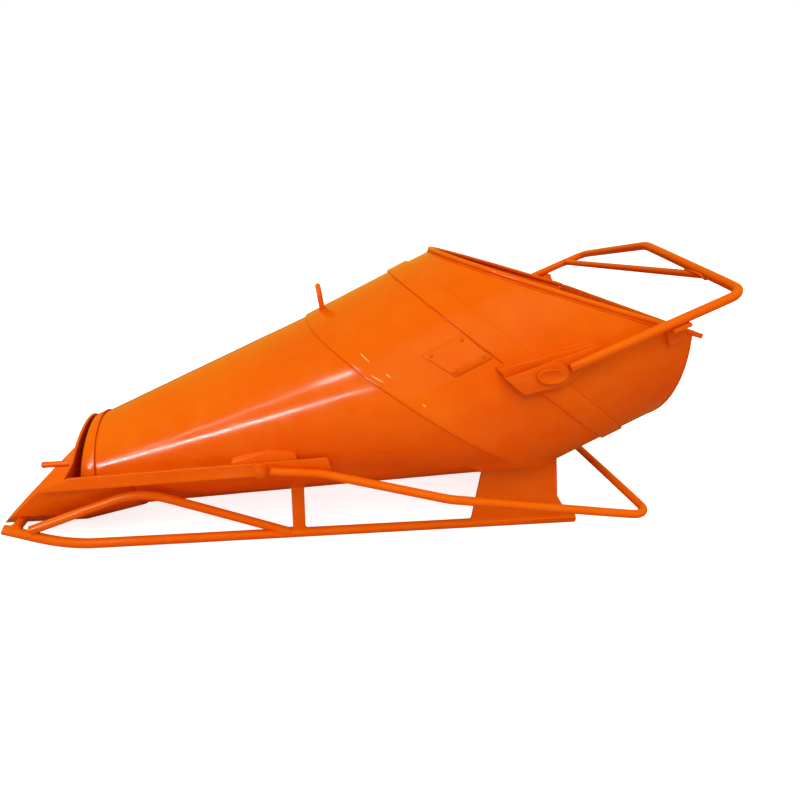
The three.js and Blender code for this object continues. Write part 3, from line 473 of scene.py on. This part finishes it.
def dish(obj, side, rim, wall, depth):
    """Presses a shallow dish into the outer face, or raises a crown where the depth is above zero"""
    index = outer_face(obj, side)
    edit(obj)
    mesh = bmesh.from_edit_mesh(obj.data)
    mesh.faces.ensure_lookup_table()
    mesh.faces[index].select_set(True)
    bmesh.update_edit_mesh(obj.data)
    bpy.ops.mesh.inset(thickness=rim, depth=0)
    bpy.ops.mesh.inset(thickness=wall, depth=depth)
    leave()


class BUCKET_OT_pins(bpy.types.Operator):
    """Pivot pins with dished heads, hubs and rivets"""
    bl_idname = "bucket.pins"
    bl_label = "Pins"

    def execute(self, context):
        for side in SIDES:
            head = merged_copy(f"bail_pin_{side}", f"bail_pivot_{side}")
            dish(head, side, 5 * MM, 2.5 * MM, -1.5 * MM)
            eased(head, 1.8 * MM)
            finished(head, "bucket", "pin_paint", f"bail_pin_{side}")
            pin = merged_copy(f"gate_pin_{side}", f"gate_pivot_{side}")
            dish(pin, side, 5 * MM, 4 * MM, 1.5 * MM)
            eased(pin, 1.6 * MM)
            finished(pin, "bucket", "pin_paint", f"gate_pin_{side}")
            hub = merged_copy(f"lever_hub_{side}", f"lever_boss_{side}")
            eased(hub, 1.6 * MM)
            finished(hub, "gate", "gate_paint", f"lever_hub_{side}")
        for number in range(1, 5):
            rivet = merged_copy(f"name_rivet_{number}", f"plate_rivet_{number}")
            eased(rivet, 1.2 * MM)
            finished(rivet, "bucket", "pin_paint", f"name_rivet_{number}")
        return {"FINISHED"}


# ---------------------------------------------------------------- welds

def spaced(points, step, closed):
    """The same path with even spacing"""
    ring = points + [points[0]] if closed else points
    lengths = [(b - a).length for a, b in zip(ring, ring[1:])]
    total = sum(lengths)
    count = max(4, round(total / step))
    found, k, passed = [], 0, 0.0
    for i in range(count + (0 if closed else 1)):
        goal = total * i / count
        while k < len(lengths) - 1 and passed + lengths[k] < goal:
            passed += lengths[k]
            k += 1
        share = (goal - passed) / max(lengths[k], 1e-9)
        found.append(ring[k].lerp(ring[k + 1], min(max(share, 0), 1)))
    return found


def rounded(points, closed, turns=2):
    """Corners of a path cut off, so that a bead can follow it"""
    for _ in range(turns):
        ring = points + [points[0]] if closed else points
        found = [] if closed else [points[0]]
        for a, b in zip(ring, ring[1:]):
            found += [a.lerp(b, 0.25), a.lerp(b, 0.75)]
        points = found if closed else found + [points[-1]]
    return points


def bead(name, body, slot, paths, radius=None, closed=True, tapered=False):
    """A painted weld bead along each path, with ripples; a tapered one runs out to thin ends"""
    fittings = bpy.context.scene.bucket_fittings
    radius = radius or fittings.weld_radius
    curve = bpy.data.curves.new(name, "CURVE")
    curve.dimensions = "3D"
    curve.bevel_depth = radius
    curve.bevel_resolution = 2
    curve.use_fill_caps = True
    for number, path in enumerate(paths):
        points = spaced(path, fittings.ripple / 2, closed)
        spline = curve.splines.new("POLY")
        spline.points.add(len(points) - 1)
        spline.use_cyclic_u = closed
        for k, point in enumerate(points):
            spline.points[k].co = (point.x, point.y, max(point.z, 1.4 * radius), 1)
            lump = noise(point * 90) * 0.16 + noise(point * 22 + Vector((number, 0, 0))) * 0.12
            full = 1 + (0.09 if k % 2 else -0.05) + lump
            share = math.sin(math.pi * (k + 0.5) / len(points)) if tapered else 1
            spline.points[k].radius = full * share
    obj = bpy.data.objects.new(name, curve)
    bpy.context.scene.collection.objects.link(obj)
    only(obj)
    bpy.ops.object.convert(target="MESH")
    obj = bpy.context.object
    edit(obj)
    bpy.ops.mesh.select_all(action="SELECT")
    bpy.ops.mesh.normals_make_consistent(inside=False)
    leave()
    smooth(obj, 60)
    return finished(obj, body, slot)


def gap_to(tree, spot):
    """The distance from a point to the nearest face, or endless where none is near"""
    place, _, _, distance = tree.find_nearest(spot, 0.02)
    return math.inf if place is None else distance


def contact_loops(node, carriers, reach=0.9 * MM, shortest=0.02):
    """The outlines of the faces with which a CAD node lies on its carriers"""
    points, faces = [], []
    for carrier in carriers:
        mesh = NODES[carrier].data
        start = len(points)
        points += [vertex.co.copy() for vertex in mesh.vertices]
        faces += [[start + k for k in polygon.vertices] for polygon in mesh.polygons]
    tree = BVHTree.FromPolygons(points, faces)
    mesh = bmesh.new()
    mesh.from_mesh(NODES[node].data)
    bmesh.ops.remove_doubles(mesh, verts=mesh.verts, dist=1e-5)
    touching = set()
    for face in mesh.faces:
        spots = [vertex.co for vertex in face.verts] + [face.calc_center_median()]
        if all(gap_to(tree, spot) < reach for spot in spots):
            touching.add(face)
    links = {}
    for edge in mesh.edges:
        if sum(face in touching for face in edge.link_faces) == 1:
            a, b = edge.verts
            links.setdefault(a.index, []).append(b.index)
            links.setdefault(b.index, []).append(a.index)
    mesh.verts.ensure_lookup_table()
    loops, left = [], set(links)
    while left:
        start = min(left)
        walk, here = [start], start
        left.discard(start)
        while True:
            onward = [k for k in links[here] if k in left]
            if not onward:
                break
            here = onward[0]
            left.discard(here)
            walk.append(here)
        path = [mesh.verts[k].co.copy() for k in walk]
        length = sum((b - a).length for a, b in zip(path, path[1:]))
        if len(path) > 2 and length > shortest:
            loops.append(path)
    mesh.free()
    return loops


# Weld: node, its carriers, body, slot, share of the usual radius
SHELLS = ("cone_shell", "drum_shell")
PAIRED_WELDS = {
    "post_weld": ("post", SHELLS, "bucket", "sled_paint", 0.9),
    "post_foot_weld": ("post", ("runner",), "bucket", "sled_paint", 0.9),
    "gusset_weld": ("rear_plate", SHELLS, "bucket", "sled_paint", 1.0),
    "gusset_foot_weld": ("rear_plate", ("runner",), "bucket", "sled_paint", 0.9),
    "hump_weld": ("hump_bar", ("runner",), "bucket", "sled_paint", 1.0),
    "strut_weld": ("front_stay", ("runner", "trough"), "bucket", "sled_paint", 1.0),
    "pad_weld": ("gate_pad", SHELLS, "bucket", "shell_paint", 0.6),
    "seat_weld": ("bail_base", (*SHELLS, "drum_band"), "bucket", "shell_paint", 0.9),
    "rest_weld": ("bail_stop", (*SHELLS, "rim_bar"), "bucket", "shell_paint", 0.7),
    "boss_weld": ("lever_hub", ("gate_arm",), "gate", "gate_paint", 0.6),
}
SINGLE_WELDS = {
    "cross_pipe_weld": ("rear_crossbar", ("runner_l", "runner_r"), "bucket", "sled_paint", 1.0),
    "crest_loop_weld": ("tag_eye", SHELLS, "bucket", "shell_paint", 0.9),
    "trough_weld": ("trough", SHELLS, "bucket", "sled_paint", 0.8),
    "lever_weld": ("lever_bar", ("lever_hub_l", "lever_hub_r", "gate_arm_l", "gate_arm_r"),
                   "gate", "gate_paint", 0.9),
    "latch_weld": ("gate_stub", ("closing_plate",), "gate", "gate_paint", 0.9),
    "gate_sheet_weld": ("closing_plate", ("gate_arm_l", "gate_arm_r"), "gate", "gate_paint", 0.8),
    "tie_weld": ("bail_tie", ("bail_bar",), "bail", "bail_paint", 1.0),
}
PAIRED_NODES = {"runner", "gate_arm"}


class BUCKET_OT_welds(bpy.types.Operator):
    """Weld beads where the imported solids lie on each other"""
    bl_idname = "bucket.welds"
    bl_label = "Welds"

    def execute(self, context):
        radius = context.scene.bucket_fittings.weld_radius
        table = dict(SINGLE_WELDS)
        for name, (node, carriers, body, slot, share) in PAIRED_WELDS.items():
            for side in SIDES:
                named = [f"{c}_{side}" if c in PAIRED_NODES else c for c in carriers]
                table[f"{name}_{side}"] = (f"{node}_{side}", named, body, slot, share)
        for name, (node, carriers, body, slot, share) in table.items():
            loops = [rounded(loop, True, 1) for loop in contact_loops(node, carriers)]
            if not loops:
                print("no contact for", name)
                continue
            bead(name, body, slot, loops, radius * share)
        return {"FINISHED"}


# Beads along the shells: half their width
SEAM_BEAD = 3.4 * MM
PLAIN_BEAD = 3.2 * MM
MOUTH_BEAD = 2.6 * MM
STITCH_BEAD = 2.2 * MM
GLINT_RIDGE_BEAD = 2.8 * MM
STITCHES = 14
COLLAR_SHARE = 0.0405
# Raised ridges by the seam, with a painted highlight in light orange: first and last angle from the
# crest in degrees, distance from the seam there in mm
GLINT_RIDGES = ((40.0, 49.5, 50, 43), (53.8, 57.8, 46, 44), (50.9, 58.9, 12, 20), (71.2, 73.5, 32, 28))


def turn(first, last, count):
    """Evenly spaced numbers from first to last"""
    return [first + (last - first) * k / count for k in range(count + 1)]


class BUCKET_OT_seams(bpy.types.Operator):
    """Long seams of the shells, stitches along the band and raised ridges by the seam that carry a
    painted highlight
    """
    bl_idname = "bucket.seams"
    bl_label = "Seams"

    def execute(self, context):
        whole = turn(0, FULL_TURN, 720)[:-1]
        bead("seam_weld", "bucket", "shell_paint",
             [[seam_point(a, -4.4 * MM, -0.8 * MM) for a in whole]], SEAM_BEAD)
        bead("collar_weld", "bucket", "shell_paint",
             [[cone_point(COLLAR_SHARE, a, 1.2 * MM) for a in whole[::2]]], PLAIN_BEAD)
        bead("end_weld", "bucket", "shell_paint",
             [[drum_point(leaning(END, a) + 1.2 * MM, a, -1.2 * MM)
               for a in turn(CORNER + 0.02, FULL_TURN - CORNER - 0.02, 500)]], PLAIN_BEAD, closed=False)
        bead("mouth_weld", "bucket", "shell_paint",
             [[drum_point(leaning(MOUTH, a) - 1.5 * MM, a, 0.4 * MM)
               for a in turn(-CORNER + 0.01, CORNER - 0.01, 500)]], MOUTH_BEAD, closed=False)
        stitches = []
        for k in range(STITCHES):
            centre = FULL_TURN * (k + 0.4) / STITCHES
            half = 0.045 + 0.02 * noise(Vector((k * 1.7, 0, 0)))
            for offset in (-1.2 * MM, BAND_WIDTH + 1.2 * MM):
                stitches.append([drum_point(leaning(BAND, a) + offset, a, 1.6 * MM)
                                 for a in turn(centre - half, centre + half, 12)])
        bead("band_stitches", "bucket", "shell_paint", stitches, STITCH_BEAD, closed=False)
        paths = [[seam_point(math.radians(first + (last - first) * t), -1.6 * MM,
                             (near + (far - near) * t) * MM) for t in turn(0, 1, 12)]
                 for first, last, near, far in GLINT_RIDGES]
        # The raised ridges take the light orange enamel, a painted highlight
        marks = bead("ridges_painted_highlight", "bucket", "shell_paint", paths, GLINT_RIDGE_BEAD, closed=False, tapered=True)
        marks.data.materials[0] = bpy.data.materials["enamel_scuffs"]
        return {"FINISHED"}


# ---------------------------------------------------------------- enamel

class Wire:
    """A socket that can stand in an expression"""

    def __init__(self, paint, socket):
        self.paint = paint
        self.socket = socket

    def maths(self, operation, first, second, clamp=False):
        settings = {"operation": operation, "use_clamp": clamp}
        return self.paint.node("ShaderNodeMath", settings, [first, second])

    def __add__(self, other):
        return self.maths("ADD", self, other)

    __radd__ = __add__

    def __sub__(self, other):
        return self.maths("SUBTRACT", self, other)

    def __rsub__(self, other):
        return self.maths("SUBTRACT", other, self)

    def __mul__(self, other):
        return self.maths("MULTIPLY", self, other)

    __rmul__ = __mul__

    def limited(self):
        """The same value, kept between 0 and 1"""
        return self.maths("ADD", self, 0.0, clamp=True)


class Paint:
    """A material's node tree"""

    def __init__(self, name):
        self.material = bpy.data.materials.new(name)
        self.material.use_nodes = True
        self.tree = self.material.node_tree
        self.tree.nodes.clear()

    def node(self, kind, settings=None, values=(), output=0):
        made = self.tree.nodes.new(kind)
        for name, value in (settings or {}).items():
            setattr(made, name, value)
        pairs = values.items() if isinstance(values, dict) else enumerate(values)
        for key, value in pairs:
            if isinstance(value, Wire):
                self.tree.links.new(value.socket, made.inputs[key])
            else:
                made.inputs[key].default_value = value
        return Wire(self, made.outputs[output])

    def place(self, scale=(1, 1, 1)):
        where = self.node("ShaderNodeTexCoord", output="Object")
        return self.node("ShaderNodeMapping", values={"Vector": where, "Scale": scale})

    def height_of(self, output):
        """The upward part of one of the coordinates"""
        where = self.node("ShaderNodeTexCoord", output=output)
        return self.node("ShaderNodeSeparateXYZ", values=[where], output=2)

    def noise(self, scale, where, detail=2.0, roughness=0.5):
        return self.node("ShaderNodeTexNoise", values={
            "Vector": where, "Scale": scale, "Detail": detail, "Roughness": roughness})

    def ramp(self, value, low, high, smooth=True):
        kind = "SMOOTHSTEP" if smooth else "LINEAR"
        return self.node("ShaderNodeMapRange", {"interpolation_type": kind}, {
            "Value": value, "From Min": low, "From Max": high, "To Min": 0.0, "To Max": 1.0})

    def blend(self, factor, first, second):
        values = {0: factor, 6: first, 7: second}
        return self.node("ShaderNodeMix", {"data_type": "RGBA"}, values, output=2)

    def bump(self, height, strength, distance, normal=None):
        values = {"Height": height, "Strength": strength, "Distance": distance}
        if normal:
            values["Normal"] = normal
        return self.node("ShaderNodeBump", values=values)

    def output(self, surface):
        output = self.tree.nodes.new("ShaderNodeOutputMaterial")
        self.tree.links.new(surface.socket, output.inputs["Surface"])
        return self.material


def rgba(colour, gain=1.0):
    return (*[min(1.0, channel * gain) for channel in colour], 1.0)


# A light orange for a faint random haze, and for the painted highlight on the ridges by the seam
PALE_ORANGE = (0.98, 0.64, 0.22, 1)
HAZE_SHARE = 0.015
# The enamel's gloss where it is the same all over
GLAZE = {"Specular IOR Level": 0.25, "Coat Weight": 0.12, "Coat Roughness": 0.05, "Coat IOR": 1.4}


def enamel(name, tint=1.0, nibs=0.25, peel=0.03, scraped=False, painted_highlight=0.0):
    """Glossy orange enamel: painted shade on faces that look down, drifts of tone, haze, a painted
    highlight where asked, orange peel, nibs of dust and a scraped sole
    """
    look = bpy.context.scene.bucket_paint
    paint = Paint("enamel_" + name)
    where = paint.place()
    drift = paint.ramp(paint.noise(2.3, where, 3.0), 0.32, 0.7)
    blotch = paint.ramp(paint.noise(14.0, where, 4.0, 0.6), 0.35, 0.72)
    # Painted shade: faces that look down lean to the darker orange and faces that look up to the lighter
    # one; the rest of the tone drifts at random
    upward = paint.ramp(paint.height_of("Normal"), -0.85, 0.6, False)
    tone = (0.62 * upward + 0.24 * drift + 0.14 * blotch).limited()
    colour = paint.blend(tone, rgba(look.shade_and_drift_orange, tint), rgba(look.orange, tint))
    haze = paint.ramp(paint.noise(5.5, paint.place((1, 1, 2.2)), 5.0, 0.62), 0.58, 0.84)
    # Random haze tints a little towards the light orange; the painted highlight share tints the whole
    # enamel towards it
    colour = paint.blend(haze * HAZE_SHARE + painted_highlight, colour, PALE_ORANGE)
    rough = look.gloss + 0.07 * blotch + 0.09 * haze
    metal = None
    if scraped:
        height = paint.height_of("Object")
        streaks = paint.noise(60.0, paint.place((0.12, 1, 1)), 5.0, 0.65)
        worn = paint.ramp(streaks * 0.02 - height, 0.0035, 0.0085)
        colour = paint.blend(worn, colour, rgba(look.steel))
        rough = rough + 0.25 * worn
        metal = worn
    cells = paint.node("ShaderNodeTexVoronoi", {"feature": "F1"}, {"Vector": where, "Scale": 46.0})
    spot = 1 - paint.ramp(cells, 0.035, 0.11)
    gather = paint.ramp(paint.noise(3.7, where, 2.0), 0.52, 0.7)
    peel_height = paint.noise(330.0, where, 2.0, 0.45)
    slow = paint.noise(26.0, where, 2.0, 0.4)
    normal = paint.bump(slow, 0.12, 0.6 * MM)
    normal = paint.bump(peel_height, peel, 0.5 * MM, normal)
    normal = paint.bump(spot * gather, nibs, 0.6 * MM, normal)
    values = {"Base Color": colour, "Roughness": rough, "Normal": normal, **GLAZE}
    if metal:
        values["Metallic"] = metal
    return paint.output(paint.node("ShaderNodeBsdfPrincipled", values=values))


class BUCKET_OT_enamel(bpy.types.Operator):
    """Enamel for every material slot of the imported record"""
    bl_idname = "bucket.enamel"
    bl_label = "Enamel"

    def execute(self, context):
        enamel("shell_paint", 1.0, 0.2, 0.03)
        enamel("sled_paint", 0.985, 0.3, 0.05, scraped=True)
        enamel("gate_paint", 0.99, 0.3, 0.05)
        enamel("bail_paint", 1.0, 0.3, 0.05)
        enamel("pin_paint", 0.965, 0.3, 0.06)
        # Enamel for the ridges by the seam, tinted light orange as a painted highlight
        enamel("scuffs", 1.0, 0.2, 0.03, painted_highlight=0.6)
        for obj in NODES.values():
            for slot in obj.material_slots:
                slot.material = bpy.data.materials["enamel_shell_paint"]
        return {"FINISHED"}


# ---------------------------------------------------------------- stage

# Two tube lights rise from one foot and fade along their length, so each is made of parts.
# Part: tube, start and end as shares of its run, width, share of the power
TUBE_FOOT = Vector((SHIFT - 3.71, -1.81, 0.30))
TUBE_TIPS = {
    "low": Vector((SHIFT - 2.0, -2.42, 2.15)),
    "high": Vector((SHIFT - 2.21, -1.19, 2.95)),
}
TUBES = {
    "tube_low": ("low", 0.0, 0.70, 0.055, 0.50),
    "tube_low_middle": ("low", 0.70, 0.90, 0.05, 0.07),
    "tube_low_end": ("low", 0.90, 1.0, 0.05, 0.015),
    "tube_high": ("high", 0.0, 0.86, 0.09, 0.10),
    "tube_high_end": ("high", 0.86, 1.0, 0.08, 0.12),
}
TUBE_AIM = Vector((0, 0, 0.5))
SUN_SPREAD = math.radians(50)
SUN_PLACE = Vector((-0.30, -0.60, 0.74))
WHITE = (1, 1, 1, 1)
FLOOR_GLOW = 0.8
# Reflections in the enamel see a warm sky and a dim warm floor in place of the white ones
MIRRORED_SKY = (1.0, 0.50, 0.05, 1)
MIRRORED_SKY_STRENGTH = 0.9
MIRRORED_FLOOR = (0.40, 0.17, 0.03, 1)
# The camera: its place, its view and its right-hand side; the focal length and the shift in pixels
CAMERA_PLACE = (SHIFT - 0.5389, -2.0482, 1.1084)
CAMERA_VIEW = (0.1555, 0.8971, -0.4135)
CAMERA_RIGHT = (0.9871, -0.1568, 0.0310)
FRAME = 800
FOCAL_LENGTH = 597.2
FRAME_SHIFT = 62.3
FILM_WIDTH = 36


def tube_light(name, low, high, width, power):
    """A long tube light from one point to another, facing the bucket"""
    centre = (low + high) / 2
    run = (high - low).normalized()
    facing = TUBE_AIM - centre
    facing = (facing - run * facing.dot(run)).normalized()
    side = run.cross(-facing)
    light = bpy.data.lights.new(name, "AREA")
    light.shape = "RECTANGLE"
    light.size = width
    light.size_y = (high - low).length
    light.energy = power
    lamp = bpy.data.objects.new(name, light)
    bpy.context.scene.collection.objects.link(lamp)
    basis = Matrix((side, run, -facing)).transposed()
    lamp.matrix_world = Matrix.Translation(centre) @ basis.to_4x4()
    lamp.visible_camera = False
    lamp.visible_diffuse = False


class BUCKET_OT_stage(bpy.types.Operator):
    """White floor, even sky, a wide key light, the tube lights and the camera"""
    bl_idname = "bucket.stage"
    bl_label = "Stage"

    def execute(self, context):
        look = context.scene.bucket_stage
        self.floor(look)
        self.sky(look)
        key = bpy.data.lights.new("key", "SUN")
        key.energy = look.sun_strength
        key.angle = SUN_SPREAD
        sun = bpy.data.objects.new("key", key)
        context.scene.collection.objects.link(sun)
        sun.visible_glossy = False
        sun.rotation_euler = SUN_PLACE.to_track_quat("Z", "Y").to_euler()
        for name, (tube, start, end, width, share) in TUBES.items():
            low = TUBE_FOOT.lerp(TUBE_TIPS[tube], start)
            high = TUBE_FOOT.lerp(TUBE_TIPS[tube], end)
            tube_light(name, low, high, width, look.tube_power * share)
        self.camera(context)
        context.scene.view_settings.view_transform = "Standard"
        return {"FINISHED"}

    def floor(self, look):
        bpy.ops.mesh.primitive_plane_add(size=look.floor_size, location=(0, 0, 0))
        floor = bpy.context.object
        floor.name = "floor"
        edit(floor)
        bpy.ops.mesh.select_all(action="SELECT")
        bpy.ops.mesh.subdivide(number_cuts=7)
        leave()
        paint = Paint("floor_white")
        where = paint.place()
        grain = paint.ramp(paint.noise(3.0, where, 3.0), 0.2, 0.8)
        shade = paint.blend(grain, (0.78, 0.78, 0.78, 1), (0.82, 0.82, 0.82, 1))
        matt = paint.node("ShaderNodeBsdfDiffuse", values={"Color": shade})
        dim = paint.node("ShaderNodeBsdfDiffuse", values={"Color": MIRRORED_FLOOR})
        seen = paint.node("ShaderNodeLightPath", output="Is Camera Ray")
        through = paint.node("ShaderNodeLightPath", output="Is Transmission Ray")
        glow = paint.node("ShaderNodeEmission", values={
            "Color": WHITE, "Strength": FLOOR_GLOW * (seen + through)})
        both = paint.node("ShaderNodeAddShader", values=[matt, glow])
        mirrored = paint.node("ShaderNodeLightPath", output="Is Glossy Ray")
        floor.data.materials.append(paint.output(
            paint.node("ShaderNodeMixShader", values=[mirrored, both, dim])))

    def sky(self, look):
        world = bpy.data.worlds.new("sky")
        bpy.context.scene.world = world
        world.use_nodes = True
        tree = world.node_tree
        tree.nodes.clear()
        path = tree.nodes.new("ShaderNodeLightPath")
        unseen = tree.nodes.new("ShaderNodeMapRange")
        unseen.inputs["To Min"].default_value = look.sky_strength
        unseen.inputs["To Max"].default_value = MIRRORED_SKY_STRENGTH
        tree.links.new(path.outputs["Is Glossy Ray"], unseen.inputs["Value"])
        strength = tree.nodes.new("ShaderNodeMapRange")
        strength.inputs["To Max"].default_value = 1.0
        tree.links.new(unseen.outputs["Result"], strength.inputs["To Min"])
        tree.links.new(path.outputs["Is Camera Ray"], strength.inputs["Value"])
        background = tree.nodes.new("ShaderNodeBackground")
        tree.links.new(strength.outputs["Result"], background.inputs["Strength"])
        tone = tree.nodes.new("ShaderNodeMix")
        tone.data_type = "RGBA"
        tone.inputs[6].default_value = WHITE
        tone.inputs[7].default_value = MIRRORED_SKY
        tree.links.new(path.outputs["Is Glossy Ray"], tone.inputs[0])
        tree.links.new(tone.outputs[2], background.inputs["Color"])
        output = tree.nodes.new("ShaderNodeOutputWorld")
        tree.links.new(background.outputs["Background"], output.inputs["Surface"])

    def camera(self, context):
        forward = Vector(CAMERA_VIEW).normalized()
        right = Vector(CAMERA_RIGHT)
        right = (right - forward * right.dot(forward)).normalized()
        up = right.cross(forward)
        lens = bpy.data.cameras.new("camera")
        lens.sensor_width = FILM_WIDTH
        lens.lens = FOCAL_LENGTH / FRAME * FILM_WIDTH
        lens.shift_y = FRAME_SHIFT / FRAME
        camera = bpy.data.objects.new("camera", lens)
        context.scene.collection.objects.link(camera)
        basis = Matrix((right, up, -forward)).transposed()
        camera.matrix_world = Matrix.Translation(CAMERA_PLACE) @ basis.to_4x4()
        context.scene.camera = camera


class BUCKET_PT_panel(bpy.types.Panel):
    """Sizes, looks and steps of the sled bucket"""
    bl_idname = "BUCKET_PT_panel"
    bl_label = "Sled bucket"
    bl_space_type = "VIEW_3D"
    bl_region_type = "UI"
    bl_category = "Sled bucket"

    def draw(self, context):
        for group in GROUPS:
            for name in GROUPS[group].__annotations__:
                self.layout.prop(getattr(context.scene, group), name)
        for step in STEPS:
            self.layout.operator(step.bl_idname)


GROUPS = {
    "bucket_shell": ShellSizes,
    "bucket_fittings": FittingSizes,
    "bucket_paint": PaintLook,
    "bucket_stage": StageLook,
}
STEPS = (
    BUCKET_OT_enamel,
    BUCKET_OT_drum,
    BUCKET_OT_cone,
    BUCKET_OT_band,
    BUCKET_OT_plates,
    BUCKET_OT_bars,
    BUCKET_OT_pins,
    BUCKET_OT_welds,
    BUCKET_OT_seams,
    BUCKET_OT_stage,
)


def register():
    for kind in (*GROUPS.values(), *STEPS, BUCKET_PT_panel):
        bpy.utils.register_class(kind)
    for name, kind in GROUPS.items():
        setattr(bpy.types.Scene, name, bpy.props.PointerProperty(type=kind))


def unregister():
    for name in GROUPS:
        delattr(bpy.types.Scene, name)
    for kind in (BUCKET_PT_panel, *reversed(STEPS), *GROUPS.values()):
        bpy.utils.unregister_class(kind)


def main():
    register()
    for step in STEPS:
        group, name = step.bl_idname.split(".")
        getattr(getattr(bpy.ops, group), name)()
    only(NODES["drum_shell"])
    bpy.ops.object.select_all(action="DESELECT")


if __name__ == "__main__":
    main()
